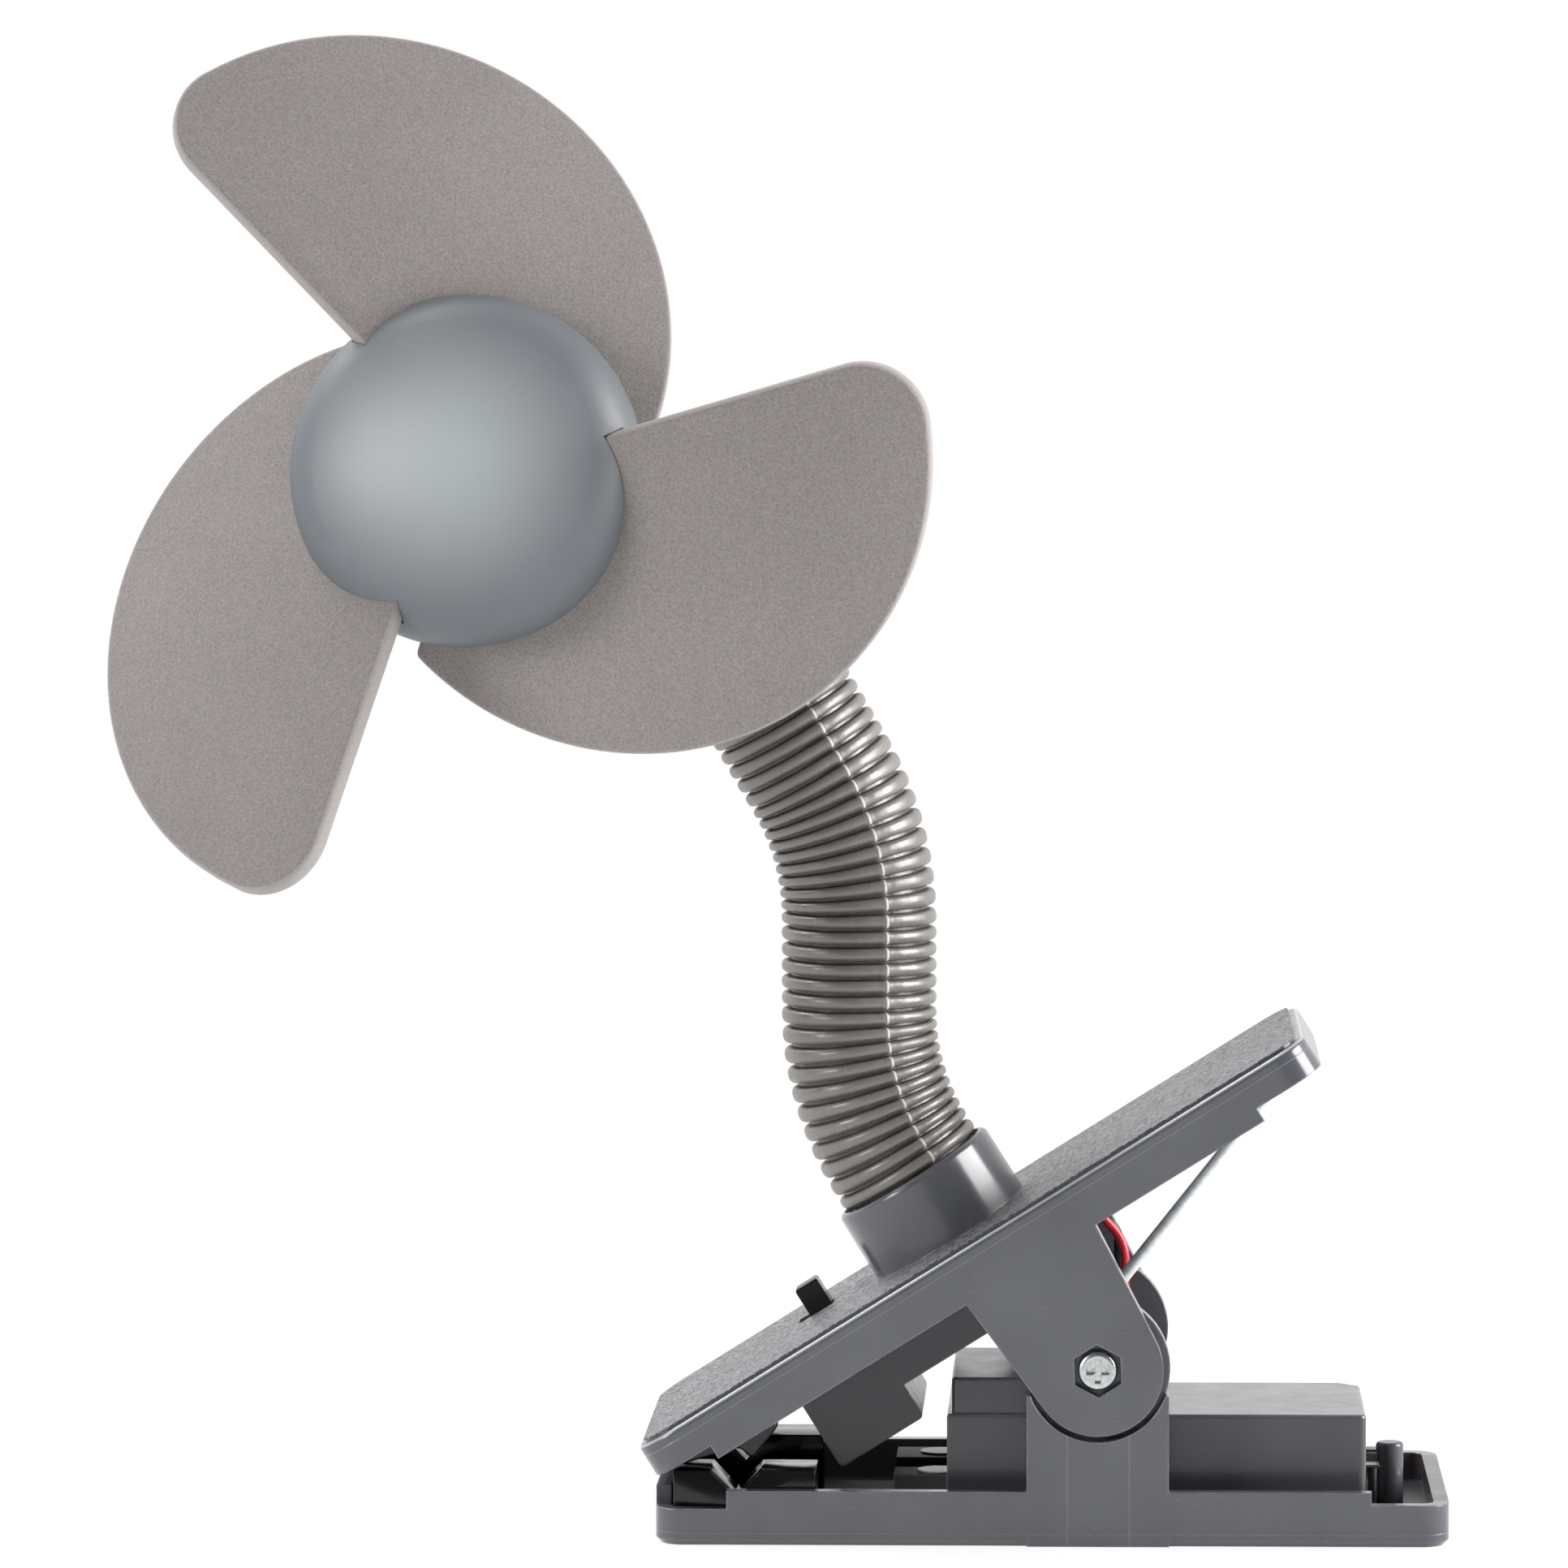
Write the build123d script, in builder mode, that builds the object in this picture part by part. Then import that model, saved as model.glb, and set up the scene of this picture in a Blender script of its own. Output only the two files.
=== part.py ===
from build123d import *
import os
from math import acos, atan2, cos, degrees, radians, sin

# Battery clip fan: a spring clip with the cells in its lower jaw, a switch and a
# bendable ribbed neck on its upper jaw, and a small motor turning three foam blades.
# Millimetres. X runs towards the handle end, Y away from the viewer, Z up.
# The origin is the middle of the underside that the fan stands on.

os.makedirs("parts", exist_ok=True)

# ---- driving dimensions -----------------------------------------------------------
# lower jaw, an open tray
base_length = 114.0
base_width = 51.0
base_corner = 4.0
base_wall = 2.2
base_floor = 2.0
base_bevel = 0.8
rim_height = 7.9
low_rim_height = 6.1  # where the rim steps down round the tail
low_front_height = 5.3  # and beside the grip pads
low_front_length = 8.1
low_front_depth = 5.0
low_tail_length = 11.2
stop_post_diameter = 4.0
stop_post_height = 11.4
stop_post_round = 0.5
stop_post_inset = 7.75
block_height = 8.4  # two low blocks beside the battery box
block_length = 7.8
block_near_width = 7.0
block_far_width = 9.8
block_near_y = -9.7
block_far_y = 7.7
block_pin_diameter = 6.0
block_pin_height = 0.3
block_pin_place = 1.4  # in front of the box
door_boss_height = 6.2
door_boss_wall = 1.2

# hinge
hinge_x = 6.6
hinge_z = 25.35
jaw_tilt = 32.0  # degrees, jaws closed
side_clearance = 0.3  # between a jaw ear and the ear beside it
ear_radius = 9.45
ear_thickness = 3.2
ear_spread = 10.9  # half width where an ear meets the side wall
base_ear_radius = 10.4
base_ear_thickness = 2.4
column_half_length = 10.2
column_height = 21.7
ear_pocket_gap = 0.85  # round the jaw ear's lower end
screw_diameter = 3.0
screw_head_diameter = 5.7
screw_head_height = 1.9
screw_socket_depth = 1.1
screw_socket_length = 3.4
screw_socket_width = 0.9
screw_fit = 0.08  # radial clearance of every screw in its hole
pocket_flats = 6.6
pocket_depth = 2.0
nut_flats = 5.5
nut_height = 1.8

# battery box, cells and contacts
cell_diameter = 14.2
cell_length = 49.5
cell_edge = 0.6
cell_nub_diameter = 5.5
cell_nub_height = 1.0
cell_gap = 0.3
box_wall = 1.4
box_roof = 1.2
box_start = -15.2  # X of its left end
box_corner_cut = 3.0
box_edge_round = 1.0  # its upright edge by the tail, towards the viewer
box_top_round = 0.5
contact_thickness = 0.4
contact_height = 11.0
contact_width = 11.0
contact_spring_length = 6.4
contact_wire = 0.8
contact_spring_radius = 3.2
contact_turns = 3
contact_tab_width = 3.0
contact_tab_reach = 2.2  # beyond the box
plus_tab_reach = 3.9
contact_slot_gap = 0.2
cap_height = 5.2  # the wiring cap on the left part of the box
cap_length = 14.0
cap_inset = 0.7
door_thickness = 1.6
grip_ridge_length = 16.0
grip_ridge_width = 1.2
grip_ridge_depth = 0.5
door_gap = 0.2
door_screw_diameter = 2.2
door_screw_head = 4.0
door_screw_head_height = 0.8
door_screw_length = 5.4
door_tongue_width = 8.0

# upper jaw, a cover open below; places are measured from the hinge along the jaw
# and heights square to it
jaw_front = -62.4
jaw_back = 50.2
jaw_front_corner = 6.0
jaw_back_corner = 5.5
jaw_wall = 2.4
deck_top = 25.6
deck_thickness = 2.5
deck_step = 0.5  # the grained face stands above the edge bead
deck_inset = 1.2
bead_round = 0.8
side_bottom = 18.0
end_bottom = 20.1
side_start = -52.9
side_end = 39.3
collar_place = -9.5
collar_diameter = 25.2
collar_height = 10.7
collar_draft = 0.7  # degrees
collar_edge = 0.9

# grip pads
pad_width = 10.6
pad_wall_gap = 1.2  # between a lower pad and the side wall
pad_end_gap = 0.3
lower_pad_length = 20.5
lower_pad_top = 10.3
notch_place = 9.0  # from the front of the pad
notch_width = 7.2
notch_depth = 3.8
upper_pad_front = -59.5
upper_pad_back = -43.4
upper_pad_lip = 20.0
tooth_start = -50.0
tooth_root = 17.4
tooth_tip_place = -49.2
tooth_tip = 14.9
tooth_heel = 17.1

# switch and the cover below the deck
knob_length = 3.7
knob_width = 4.0
knob_rise = 4.5
knob_place = -31.9
knob_side = 5.0  # off the middle plane
knob_travel = 1.8
knob_gap = 0.2
knob_round = 0.5
switch_place = -32.5
switch_length = 11.0
switch_width = 6.6
switch_height = 4.5
cover_front = -39.8
cover_step = -25.6
cover_back = 0.5
cover_deep = 6.35
cover_shallow = 11.8
cover_width = 30.0
cover_wall = 1.4
cover_notch_depth = 5.2
cover_notch_side = 7.5
cover_notch_width = 12.0
cover_screw_diameter = 2.2
cover_screw_head = 4.0
cover_screw_head_height = 1.0
cover_screw_slot_depth = 0.6
cover_screw_length = 6.5
cover_screw_places = (-21.0, -6.0)
cover_screw_side = 11.0
cover_boss_diameter = 4.8

# torsion spring
spring_wire = 1.8
spring_radius = 3.0
spring_pitch = 2.0
spring_turns = 4.301
spring_start = 4.3  # the coil begins and ends this far from the middle plane
spring_upper_angle = 51.6  # degrees above level
spring_upper_arm = 49.4
spring_lower_arm = 11.4
spring_seat_place = 44.0
spring_seat_length = 6.0
spring_seat_width = 12.0
spring_seat_height = 20.6

# neck; places along it are measured from its lower end
neck_diameter = 22.6
neck_core_diameter = 19.2
neck_bore = 11.6
rib_pitch = 2.36
rib_width = 1.25
rib_round = 0.45
rib_root_depth = 0.4
neck_fit = 0.2  # radial, in the collar and in the head
neck_start_height = 18.4  # the leads begin here, under the deck
first_bend_height = 50.65
second_bend = (-28.3, 0.0, 99.6)
third_bend = (-47.9, -1.5, 133.3)
last_straight = 21.5
neck_bends = (40.0, 42.0, 36.0, 28.0)
neck_joints = 6
ribs_before_joint = 5
ribs_between_joints = 7
neck_joint_gap = 2.9
neck_swing_clearance = 6.6  # degrees; the lengths' ends are cut back to this at a joint
ball_neck_length = 2.2  # of the ball joints inside the gooseneck
ball_lap = 0.3
ball_radius = 4.0
ball_front = 1.2
ball_back = 1.6
ball_neck_outer = 7.0
ball_bore = 5.0
lead_joint_gap = 0.8
gooseneck_outer = 11.0
gooseneck_inner = 8.6
gooseneck_nut_flats = 14.0
gooseneck_nut_height = 2.6
motor_lead_diameter = 1.6
motor_lead_offset = 1.2
lead_diameter = 1.3
lead_bend = 2.5
lead_turn = 3.0
lead_bow = 7.0  # radius where the red lead leaves its upright run
red_first_bend = 1.8
switch_lead_bend = 1.5
red_tab_gap = 2.9  # between the box and a lead's upright start
black_tab_gap = 1.2
red_riser_place = 4.0  # behind the hinge
black_riser_place = 3.0
red_box_gap = 1.05  # between the box and the lead's middle
black_box_gap = 2.65
red_low = 4.9  # height of the run along the box
black_low = 3.2
red_riser_top = 38.5
black_riser_top = 40.0
# the turns under the deck: place along the jaw, drop below the deck, side
red_first_place = 8.5
red_first_drop = 4.1
red_first_side = 16.2
red_second_place = -0.5
red_second_drop = 3.7
red_second_side = 9.0
red_end_place = 1.3  # from the neck's middle line
red_end_drop = 5.1
red_end_side = 1.2
black_first_place = 7.0
black_first_drop = 2.1
black_first_side = 18.0
black_second_place = 2.5
black_second_drop = 1.9
black_second_side = 12.2
black_third_place = -20.0
black_third_drop = 2.3
black_third_side = 11.4
black_end_gap = 0.35
black_end_side = 6.6
lead_end_drop = 2.6
switch_lead_gap = 0.05
switch_lead_side = 3.4
switch_lead_turn = -23.0
switch_lead_rise = -19.0
switch_lead_rise_side = 0.8
switch_lead_drop = 5.5
switch_lead_end = 2.3  # from the neck's middle line

# fan head; heights are measured forwards along the fan's axis from the dome's rim
fan_centre = (-80.2, -65.0, 155.65)
fan_turn = 6.7  # degrees to the left of straight ahead
fan_rise = 12.0  # degrees above level
dome_radius = 24.4
dome_height = 13.0
dome_rim_round = 9.0  # radius of the profile at the rim
dome_wall = 1.4
dome_skirt = 2.0
drum_radius = 12.0
drum_rear = -3.8
drum_front = 6.6
drum_floor = 2.0
drum_bore_radius = 7.0
drum_boss_radius = 3.5
housing_front_face = -5.2
housing_diameter = 32.0
housing_wall = 1.8
housing_seam = -14.0
housing_rear_face = -34.0
housing_mouth = 9.0
lead_hole = 8.0
socket_outer = 27.5
socket_depth = 5.0
motor_diameter = 24.4
motor_fit = 0.2
motor_length = 12.5
motor_wall = 1.0
motor_cap_length = 3.0
bush_diameter = 6.0
bush_length = 1.6
shaft_diameter = 2.0
shaft_fit = 0.05
shaft_front = 5.5
shaft_rear = -21.5
armature_diameter = 19.0
armature_front = -9.5
armature_length = 8.0
armature_gap_depth = 5.0
armature_gap_width = 2.4

# foam blades; the outline is given in the plane of the dome's rim, x along the
# straight edge and y towards the trailing side
blade_count = 3
blade_thickness = 3.0
blade_first = 127.9  # degrees, direction of the first blade's straight edge
blade_level = 6.9
blade_corner = 20.4
blade_rise = 0.082
blade_pitch = 0.38
blade_slot_gap = 0.12
blade_root = 9.0
root_spread = 105.0  # degrees of the drum that one root takes
blade_straight_end = (54.7, -4.8)
blade_tip_middle = (62.35, -2.47)
blade_tip_end = (65.2, 5.0)
blade_crown = (34.2, 40.45)
blade_trailing = (-10.5, 24.0)

# ---- derived places ---------------------------------------------------------------
tilt_cos = cos(radians(jaw_tilt))
tilt_sin = sin(radians(jaw_tilt))
half_width = base_width / 2
base_left = -base_length / 2
base_right = base_length / 2
cell_side = (cell_diameter + cell_gap) / 2
cavity_half = cell_diameter + 1.5 * cell_gap
box_half = cavity_half + box_wall
cavity_start = box_start + box_wall
cavity_length = cell_length + cell_nub_height + contact_spring_length + 2 * contact_thickness
cavity_end = cavity_start + cavity_length
box_end = cavity_end + box_wall
cell_axis = base_floor + cell_diameter / 2
cavity_top = cell_axis + cell_diameter / 2 + cell_gap
box_top = cavity_top + box_roof
jaw_ear_inner = half_width - ear_thickness
base_ear_outer = jaw_ear_inner - side_clearance
base_ear_inner = base_ear_outer - base_ear_thickness
pad_inner = half_width - base_wall - pad_wall_gap - pad_width
lower_pad_front = base_left + base_wall + pad_end_gap
lower_pad_back = lower_pad_front + lower_pad_length
notch_middle = lower_pad_front + notch_place
deck_under = deck_top - deck_thickness
shoulder = deck_top - deck_step
door_screw_x = box_start - block_length / 2
block_gap_start = block_near_y + block_near_width / 2
block_gap_end = block_far_y - block_far_width / 2
door_screw_y = (block_gap_start + block_gap_end) / 2


def jaw_side(y=0.0):
    """The jaw's side view: x along the jaw, y square to it, facing the viewer."""
    return Plane(origin=(hinge_x, y, hinge_z), x_dir=(tilt_cos, 0, tilt_sin), z_dir=(0, -1, 0))


def jaw_deck(height):
    """Plane parallel to the deck: x along the jaw, y away from the viewer."""
    origin = (hinge_x - height * tilt_sin, 0, hinge_z + height * tilt_cos)
    return Plane(origin=origin, x_dir=(tilt_cos, 0, tilt_sin), z_dir=(-tilt_sin, 0, tilt_cos))


def jaw_point(place, height, y=0.0):
    """A point given along the jaw and square to it."""
    x = hinge_x + place * tilt_cos - height * tilt_sin
    return Vector(x, y, hinge_z + place * tilt_sin + height * tilt_cos)


def side_view(y=0.0):
    """Plane of the upright side view, facing the viewer."""
    return Plane(origin=(0, y, 0), x_dir=(1, 0, 0), z_dir=(0, -1, 0))


def finish(builder, name):
    """Names a piece and writes it."""
    builder.part.label = name
    export_step(builder.part, f"parts/{name}.step")
    print(f"{name}: {builder.part.volume:.0f} mm3, {len(builder.part.solids())} solid")


def wire_run(points, bends, diameter, name):
    """Makes a round wire along straight runs and arcs."""
    with BuildPart() as run:
        with BuildLine() as route:
            FilletPolyline(*points, radius=bends)
        with BuildSketch(Plane(origin=route.line @ 0, z_dir=route.line % 0)):
            Circle(diameter / 2)
        sweep(path=route.wires()[0])
    finish(run, name)


# ---- lower jaw --------------------------------------------------------------------
with BuildPart() as lower_jaw:
    with BuildSketch(Plane.XY):
        RectangleRounded(base_length, base_width, base_corner)
    extrude(amount=rim_height)
    chamfer(lower_jaw.faces().sort_by(Axis.Z)[0].edges(), base_bevel)
    with BuildSketch(Plane.XY.offset(base_floor)):
        inner_corner = base_corner - base_wall
        RectangleRounded(base_length - 2 * base_wall, base_width - 2 * base_wall, inner_corner)
    extrude(amount=rim_height, mode=Mode.SUBTRACT)
    # the rim steps down beside the grip pads and round the tail
    low_front_end = base_left + base_wall + low_front_length
    with BuildSketch(Plane.XY.offset(low_front_height)):
        with Locations((base_left, -half_width), (base_left, half_width)):
            Rectangle(2 * (low_front_end - base_left), 2 * low_front_depth)
    extrude(amount=rim_height, mode=Mode.SUBTRACT)
    with BuildSketch(Plane.XY.offset(low_rim_height)):
        with Locations((base_right - low_tail_length / 2 + 1, 0)):
            Rectangle(low_tail_length + 2, base_width + 2)
    extrude(amount=rim_height, mode=Mode.SUBTRACT)
    # battery box
    with BuildSketch(Plane.XY) as box_plan:
        with BuildLine():
            Polyline(
                (box_start, -box_half),
                (box_end, -box_half),
                (box_end, box_half - box_corner_cut),
                (box_end - box_corner_cut, box_half),
                (box_start, box_half),
                close=True,
            )
        make_face()
        tail_corners = box_plan.vertices().group_by(Axis.X)[-1]
        fillet(tail_corners.sort_by(Axis.Y)[0], box_edge_round)
    extrude(amount=box_top)
    fillet(lower_jaw.faces().sort_by(Axis.Z)[-1].edges(), box_top_round)
    # columns and ears that carry the hinge, with pockets for the jaw's ears
    for side in (-1, 1):
        with BuildSketch(side_view(side * half_width)):
            with Locations((hinge_x, column_height / 2)):
                Rectangle(2 * column_half_length, column_height)
        extrude(amount=side * (half_width - base_ear_inner))
        with BuildSketch(side_view(side * base_ear_outer)):
            with Locations((hinge_x, hinge_z)):
                Circle(base_ear_radius)
        extrude(amount=side * base_ear_thickness)
        with BuildSketch(side_view(side * (half_width + 1))):
            with Locations((hinge_x, hinge_z)):
                Circle(ear_radius + ear_pocket_gap)
        extrude(amount=side * (half_width + 1 - base_ear_outer), mode=Mode.SUBTRACT)
    # low blocks and the boss of the door screw
    with BuildSketch(Plane.XY):
        with Locations((door_screw_x, block_near_y)):
            Rectangle(block_length, block_near_width)
        with Locations((door_screw_x, block_far_y)):
            Rectangle(block_length, block_far_width)
    extrude(amount=block_height)
    with BuildSketch(Plane.XY.offset(block_height)):
        pin_x = box_start - block_pin_place
        with Locations((pin_x, block_near_y), (pin_x, block_far_y)):
            Circle(block_pin_diameter / 2)
    extrude(amount=block_pin_height)
    with BuildSketch(Plane.XY):
        with Locations((door_screw_x, door_screw_y)):
            Circle(door_screw_head / 2 + door_boss_wall)
    extrude(amount=door_boss_height)
    # stop post
    with BuildSketch(Plane.XY):
        with Locations((base_right - stop_post_inset, 0)):
            Circle(stop_post_diameter / 2)
    extrude(amount=stop_post_height)
    post_faces = lower_jaw.faces().filter_by_position(Axis.Z, stop_post_height, stop_post_height)
    fillet(post_faces.edges(), stop_post_round)
    # the cells go in from below
    with BuildSketch(Plane.XY.offset(-1)):
        with Locations(((cavity_start + cavity_end) / 2, 0)):
            Rectangle(cavity_length, 2 * cavity_half)
    extrude(amount=cavity_top + 1, mode=Mode.SUBTRACT)
    # the door closes flush below the walls of the box
    with BuildSketch(Plane.XY.offset(-1)):
        with Locations(((cavity_start + cavity_end) / 2, 0)):
            Rectangle(cavity_length + box_wall, 2 * cavity_half + box_wall)
        with Locations((door_screw_x, door_screw_y)):
            Rectangle(door_tongue_width, door_tongue_width)
        with Locations(((door_screw_x + cavity_start) / 2, door_screw_y)):
            Rectangle(cavity_start - door_screw_x, door_tongue_width)
    extrude(amount=door_thickness + 1, mode=Mode.SUBTRACT)
    with BuildSketch(Plane.XY):
        with Locations((door_screw_x, door_screw_y)):
            Circle(door_screw_diameter / 2 + screw_fit)
    extrude(amount=door_boss_height - 0.8, mode=Mode.SUBTRACT)
    # slots for the two contact tabs
    with BuildSketch(Plane.YZ.offset(cavity_end - 0.5)):
        with Locations((-cell_side, cell_axis), (cell_side, cell_axis)):
            slot_height = contact_thickness + 2 * contact_slot_gap
            Rectangle(contact_tab_width + 2 * contact_slot_gap, slot_height)
    extrude(amount=box_wall + 1, mode=Mode.SUBTRACT)
    # hinge screw
    with BuildSketch(side_view(-half_width)):
        with Locations((hinge_x, hinge_z)):
            Circle(screw_diameter / 2 + screw_fit)
    extrude(amount=-base_width, mode=Mode.SUBTRACT)
finish(lower_jaw, "lower_jaw")

# ---- wiring cap on the box --------------------------------------------------------
with BuildPart() as wiring_cap:
    cap_middle = box_start + cap_inset + cap_length / 2
    cap_width = 2 * (box_half - cap_inset)
    with BuildSketch(Plane.XY.offset(box_top)):
        with Locations((cap_middle, 0)):
            RectangleRounded(cap_length, cap_width, 1.0)
    extrude(amount=cap_height)
    chamfer(wiring_cap.faces().sort_by(Axis.Z)[-1].edges(), 0.4)
    with BuildSketch(Plane.XY.offset(box_top)):
        with Locations((cap_middle, 0)):
            Rectangle(cap_length - 2 * box_wall, cap_width - 2 * box_wall)
    extrude(amount=cap_height - box_roof, mode=Mode.SUBTRACT)
finish(wiring_cap, "wiring_cap")

# ---- battery door and its screw ---------------------------------------------------
with BuildPart() as battery_door:
    door_length = cavity_length + box_wall - 2 * door_gap
    door_width = 2 * cavity_half + box_wall - 2 * door_gap
    tongue_width = door_tongue_width - 2 * door_gap
    with BuildSketch(Plane.XY):
        with Locations(((cavity_start + cavity_end) / 2, 0)):
            Rectangle(door_length, door_width)
        with Locations((door_screw_x, door_screw_y)):
            Rectangle(tongue_width, tongue_width)
        with Locations(((door_screw_x + cavity_start) / 2, door_screw_y)):
            Rectangle(cavity_start - door_screw_x, tongue_width)
    extrude(amount=door_thickness)
    with BuildSketch(Plane.XY):
        with Locations((door_screw_x, door_screw_y)):
            Circle(door_screw_diameter / 2 + screw_fit)
    extrude(amount=door_thickness, mode=Mode.SUBTRACT)
    with BuildSketch(Plane.XY):
        with Locations((door_screw_x, door_screw_y)):
            Circle(door_screw_head / 2 + 0.2)
    extrude(amount=door_screw_head_height, mode=Mode.SUBTRACT)
    # a row of grip ridges, cut into the outside
    for row in range(5):
        with BuildSketch(Plane.XY):
            with Locations((cavity_end - 4.0 - 2.4 * row, 0)):
                SlotOverall(grip_ridge_length, grip_ridge_width, rotation=90)
        extrude(amount=grip_ridge_depth, mode=Mode.SUBTRACT)
finish(battery_door, "battery_door")

with BuildPart() as door_screw:
    with BuildSketch(Plane.XY):
        with Locations((door_screw_x, door_screw_y)):
            Circle(door_screw_head / 2)
    extrude(amount=door_screw_head_height)
    with BuildSketch(Plane.XY):
        with Locations((door_screw_x, door_screw_y)):
            Circle(door_screw_diameter / 2)
    extrude(amount=door_screw_length)
    with BuildSketch(Plane.XY):
        with Locations((door_screw_x, door_screw_y)):
            Rectangle(2.6, 0.6)
            Rectangle(0.6, 2.6)
    extrude(amount=0.6, mode=Mode.SUBTRACT)
finish(door_screw, "door_screw")

# ---- lower grip pads --------------------------------------------------------------
for side, place in ((-1, "near"), (1, "far")):
    with BuildPart() as lower_pad:
        with BuildSketch(side_view(side * (pad_inner + pad_width))):
            with BuildLine():
                Polyline(
                    (lower_pad_front, base_floor),
                    (lower_pad_front, lower_pad_top),
                    (notch_middle - notch_width / 2, lower_pad_top),
                    (notch_middle, lower_pad_top - notch_depth),
                    (notch_middle + notch_width / 2, lower_pad_top),
                    (lower_pad_back, lower_pad_top),
                    (lower_pad_back, base_floor),
                    close=True,
                )
            make_face()
        extrude(amount=side * pad_width)
    finish(lower_pad, f"lower_pad_{place}")

# ---- cells and contacts -----------------------------------------------------------
# the far cell's plus end faces the tail, the near cell's faces the front
for number, side in ((1, -1), (2, 1)):
    with BuildPart() as cell:
        if side > 0:
            cell_start = cavity_start + contact_thickness + contact_spring_length
            nub_start = cell_start + cell_length
        else:
            cell_start = cavity_start + contact_thickness + cell_nub_height
            nub_start = cell_start - cell_nub_height
        with BuildSketch(Plane.YZ.offset(cell_start)):
            with Locations((side * cell_side, cell_axis)):
                Circle(cell_diameter / 2)
        extrude(amount=cell_length)
        chamfer(cell.edges().filter_by(GeomType.CIRCLE), cell_edge)
        with BuildSketch(Plane.YZ.offset(nub_start)):
            with Locations((side * cell_side, cell_axis)):
                Circle(cell_nub_diameter / 2)
        extrude(amount=cell_nub_height)
    finish(cell, f"cell_{number}")


contact_seat = contact_wire / 2 - 0.1
coil_length = contact_spring_length - contact_wire
coil_pitch = coil_length / contact_turns
bridge_coil = Helix(
    coil_pitch,
    coil_length,
    contact_spring_radius,
    center=(cavity_start + contact_thickness + contact_seat, cell_side, cell_axis),
    direction=(1, 0, 0),
)
plate_coil = Helix(
    coil_pitch,
    coil_length,
    contact_spring_radius,
    center=(cavity_end - contact_thickness - contact_seat, -cell_side, cell_axis),
    direction=(-1, 0, 0),
)
with BuildPart() as bridge_contact:
    with BuildSketch(Plane.YZ.offset(cavity_start)):
        with Locations((0, cell_axis)):
            Rectangle(2 * cell_side + contact_width, contact_height)
    extrude(amount=contact_thickness)
    with BuildSketch(Plane(origin=bridge_coil @ 0, z_dir=bridge_coil % 0)):
        Circle(contact_wire / 2)
    sweep(path=bridge_coil)
    with Locations(bridge_coil @ 0, bridge_coil @ 1):
        Sphere(contact_wire / 2)
finish(bridge_contact, "bridge_contact")

for side, place, tab_reach in ((1, "plus", plus_tab_reach), (-1, "minus", contact_tab_reach)):
    with BuildPart() as contact_plate:
        with BuildSketch(Plane.YZ.offset(cavity_end - contact_thickness)):
            with Locations((side * cell_side, cell_axis)):
                Rectangle(contact_width, contact_height)
        extrude(amount=contact_thickness)
        with BuildSketch(Plane.XY.offset(cell_axis - contact_thickness / 2)):
            tab_length = contact_thickness + box_wall + tab_reach
            tab_middle = cavity_end - contact_thickness + tab_length / 2
            with Locations((tab_middle, side * cell_side)):
                Rectangle(tab_length, contact_tab_width)
        extrude(amount=contact_thickness)
        if side < 0:
            with BuildSketch(Plane(origin=plate_coil @ 0, z_dir=plate_coil % 0)):
                Circle(contact_wire / 2)
            sweep(path=plate_coil)
            with Locations(plate_coil @ 0, plate_coil @ 1):
                Sphere(contact_wire / 2)
    finish(contact_plate, f"contact_plate_{place}")

# ---- battery leads ----------------------------------------------------------------
# both run round the tail end of the box, along its far side, up beside the hinge and
# into the upper jaw; the red one to the neck, the black one to the switch
red_tab_x = box_end + red_tab_gap
black_tab_x = box_end + black_tab_gap
tab_under = cell_axis - contact_thickness / 2 - 0.05
red_riser_x = hinge_x + red_riser_place
black_riser_x = hinge_x + black_riser_place
red_y = box_half + red_box_gap
black_y = box_half + black_box_gap
switch_end = switch_place + switch_length / 2
lead_end_height = deck_under - lead_end_drop
wire_run(
    (
        (red_tab_x, cell_side, tab_under),
        (red_tab_x, cell_side, red_low),
        (red_tab_x, red_y, red_low),
        (red_riser_x, red_y, red_low),
        (red_riser_x, red_y, red_riser_top),
        jaw_point(red_first_place, deck_under - red_first_drop, red_first_side),
        jaw_point(red_second_place, deck_under - red_second_drop, red_second_side),
        jaw_point(collar_place + red_end_place, deck_under - red_end_drop, red_end_side),
    ),
    (red_first_bend, lead_bend, lead_bend, lead_bow, lead_turn, lead_turn),
    lead_diameter,
    "red_lead",
)
wire_run(
    (
        (black_tab_x, -cell_side, tab_under),
        (black_tab_x, -cell_side, black_low),
        (black_tab_x, black_y, black_low),
        (black_riser_x, black_y, black_low),
        (black_riser_x, black_y, black_riser_top),
        jaw_point(black_first_place, deck_under - black_first_drop, black_first_side),
        jaw_point(black_second_place, deck_under - black_second_drop, black_second_side),
        jaw_point(black_third_place, deck_under - black_third_drop, black_third_side),
        jaw_point(switch_end + black_end_gap, lead_end_height, black_end_side),
    ),
    (lead_bend, lead_bend, lead_bend, lead_bend, lead_turn, lead_turn, lead_turn),
    lead_diameter,
    "black_lead",
)
wire_run(
    (
        jaw_point(switch_end + switch_lead_gap, lead_end_height, switch_lead_side),
        jaw_point(switch_lead_turn, lead_end_height, switch_lead_side),
        jaw_point(switch_lead_rise, deck_under - switch_lead_drop, switch_lead_rise_side),
        jaw_point(collar_place - switch_lead_end, deck_under - switch_lead_drop, 0.0),
    ),
    (switch_lead_bend, switch_lead_bend),
    lead_diameter,
    "switch_lead",
)

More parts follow.
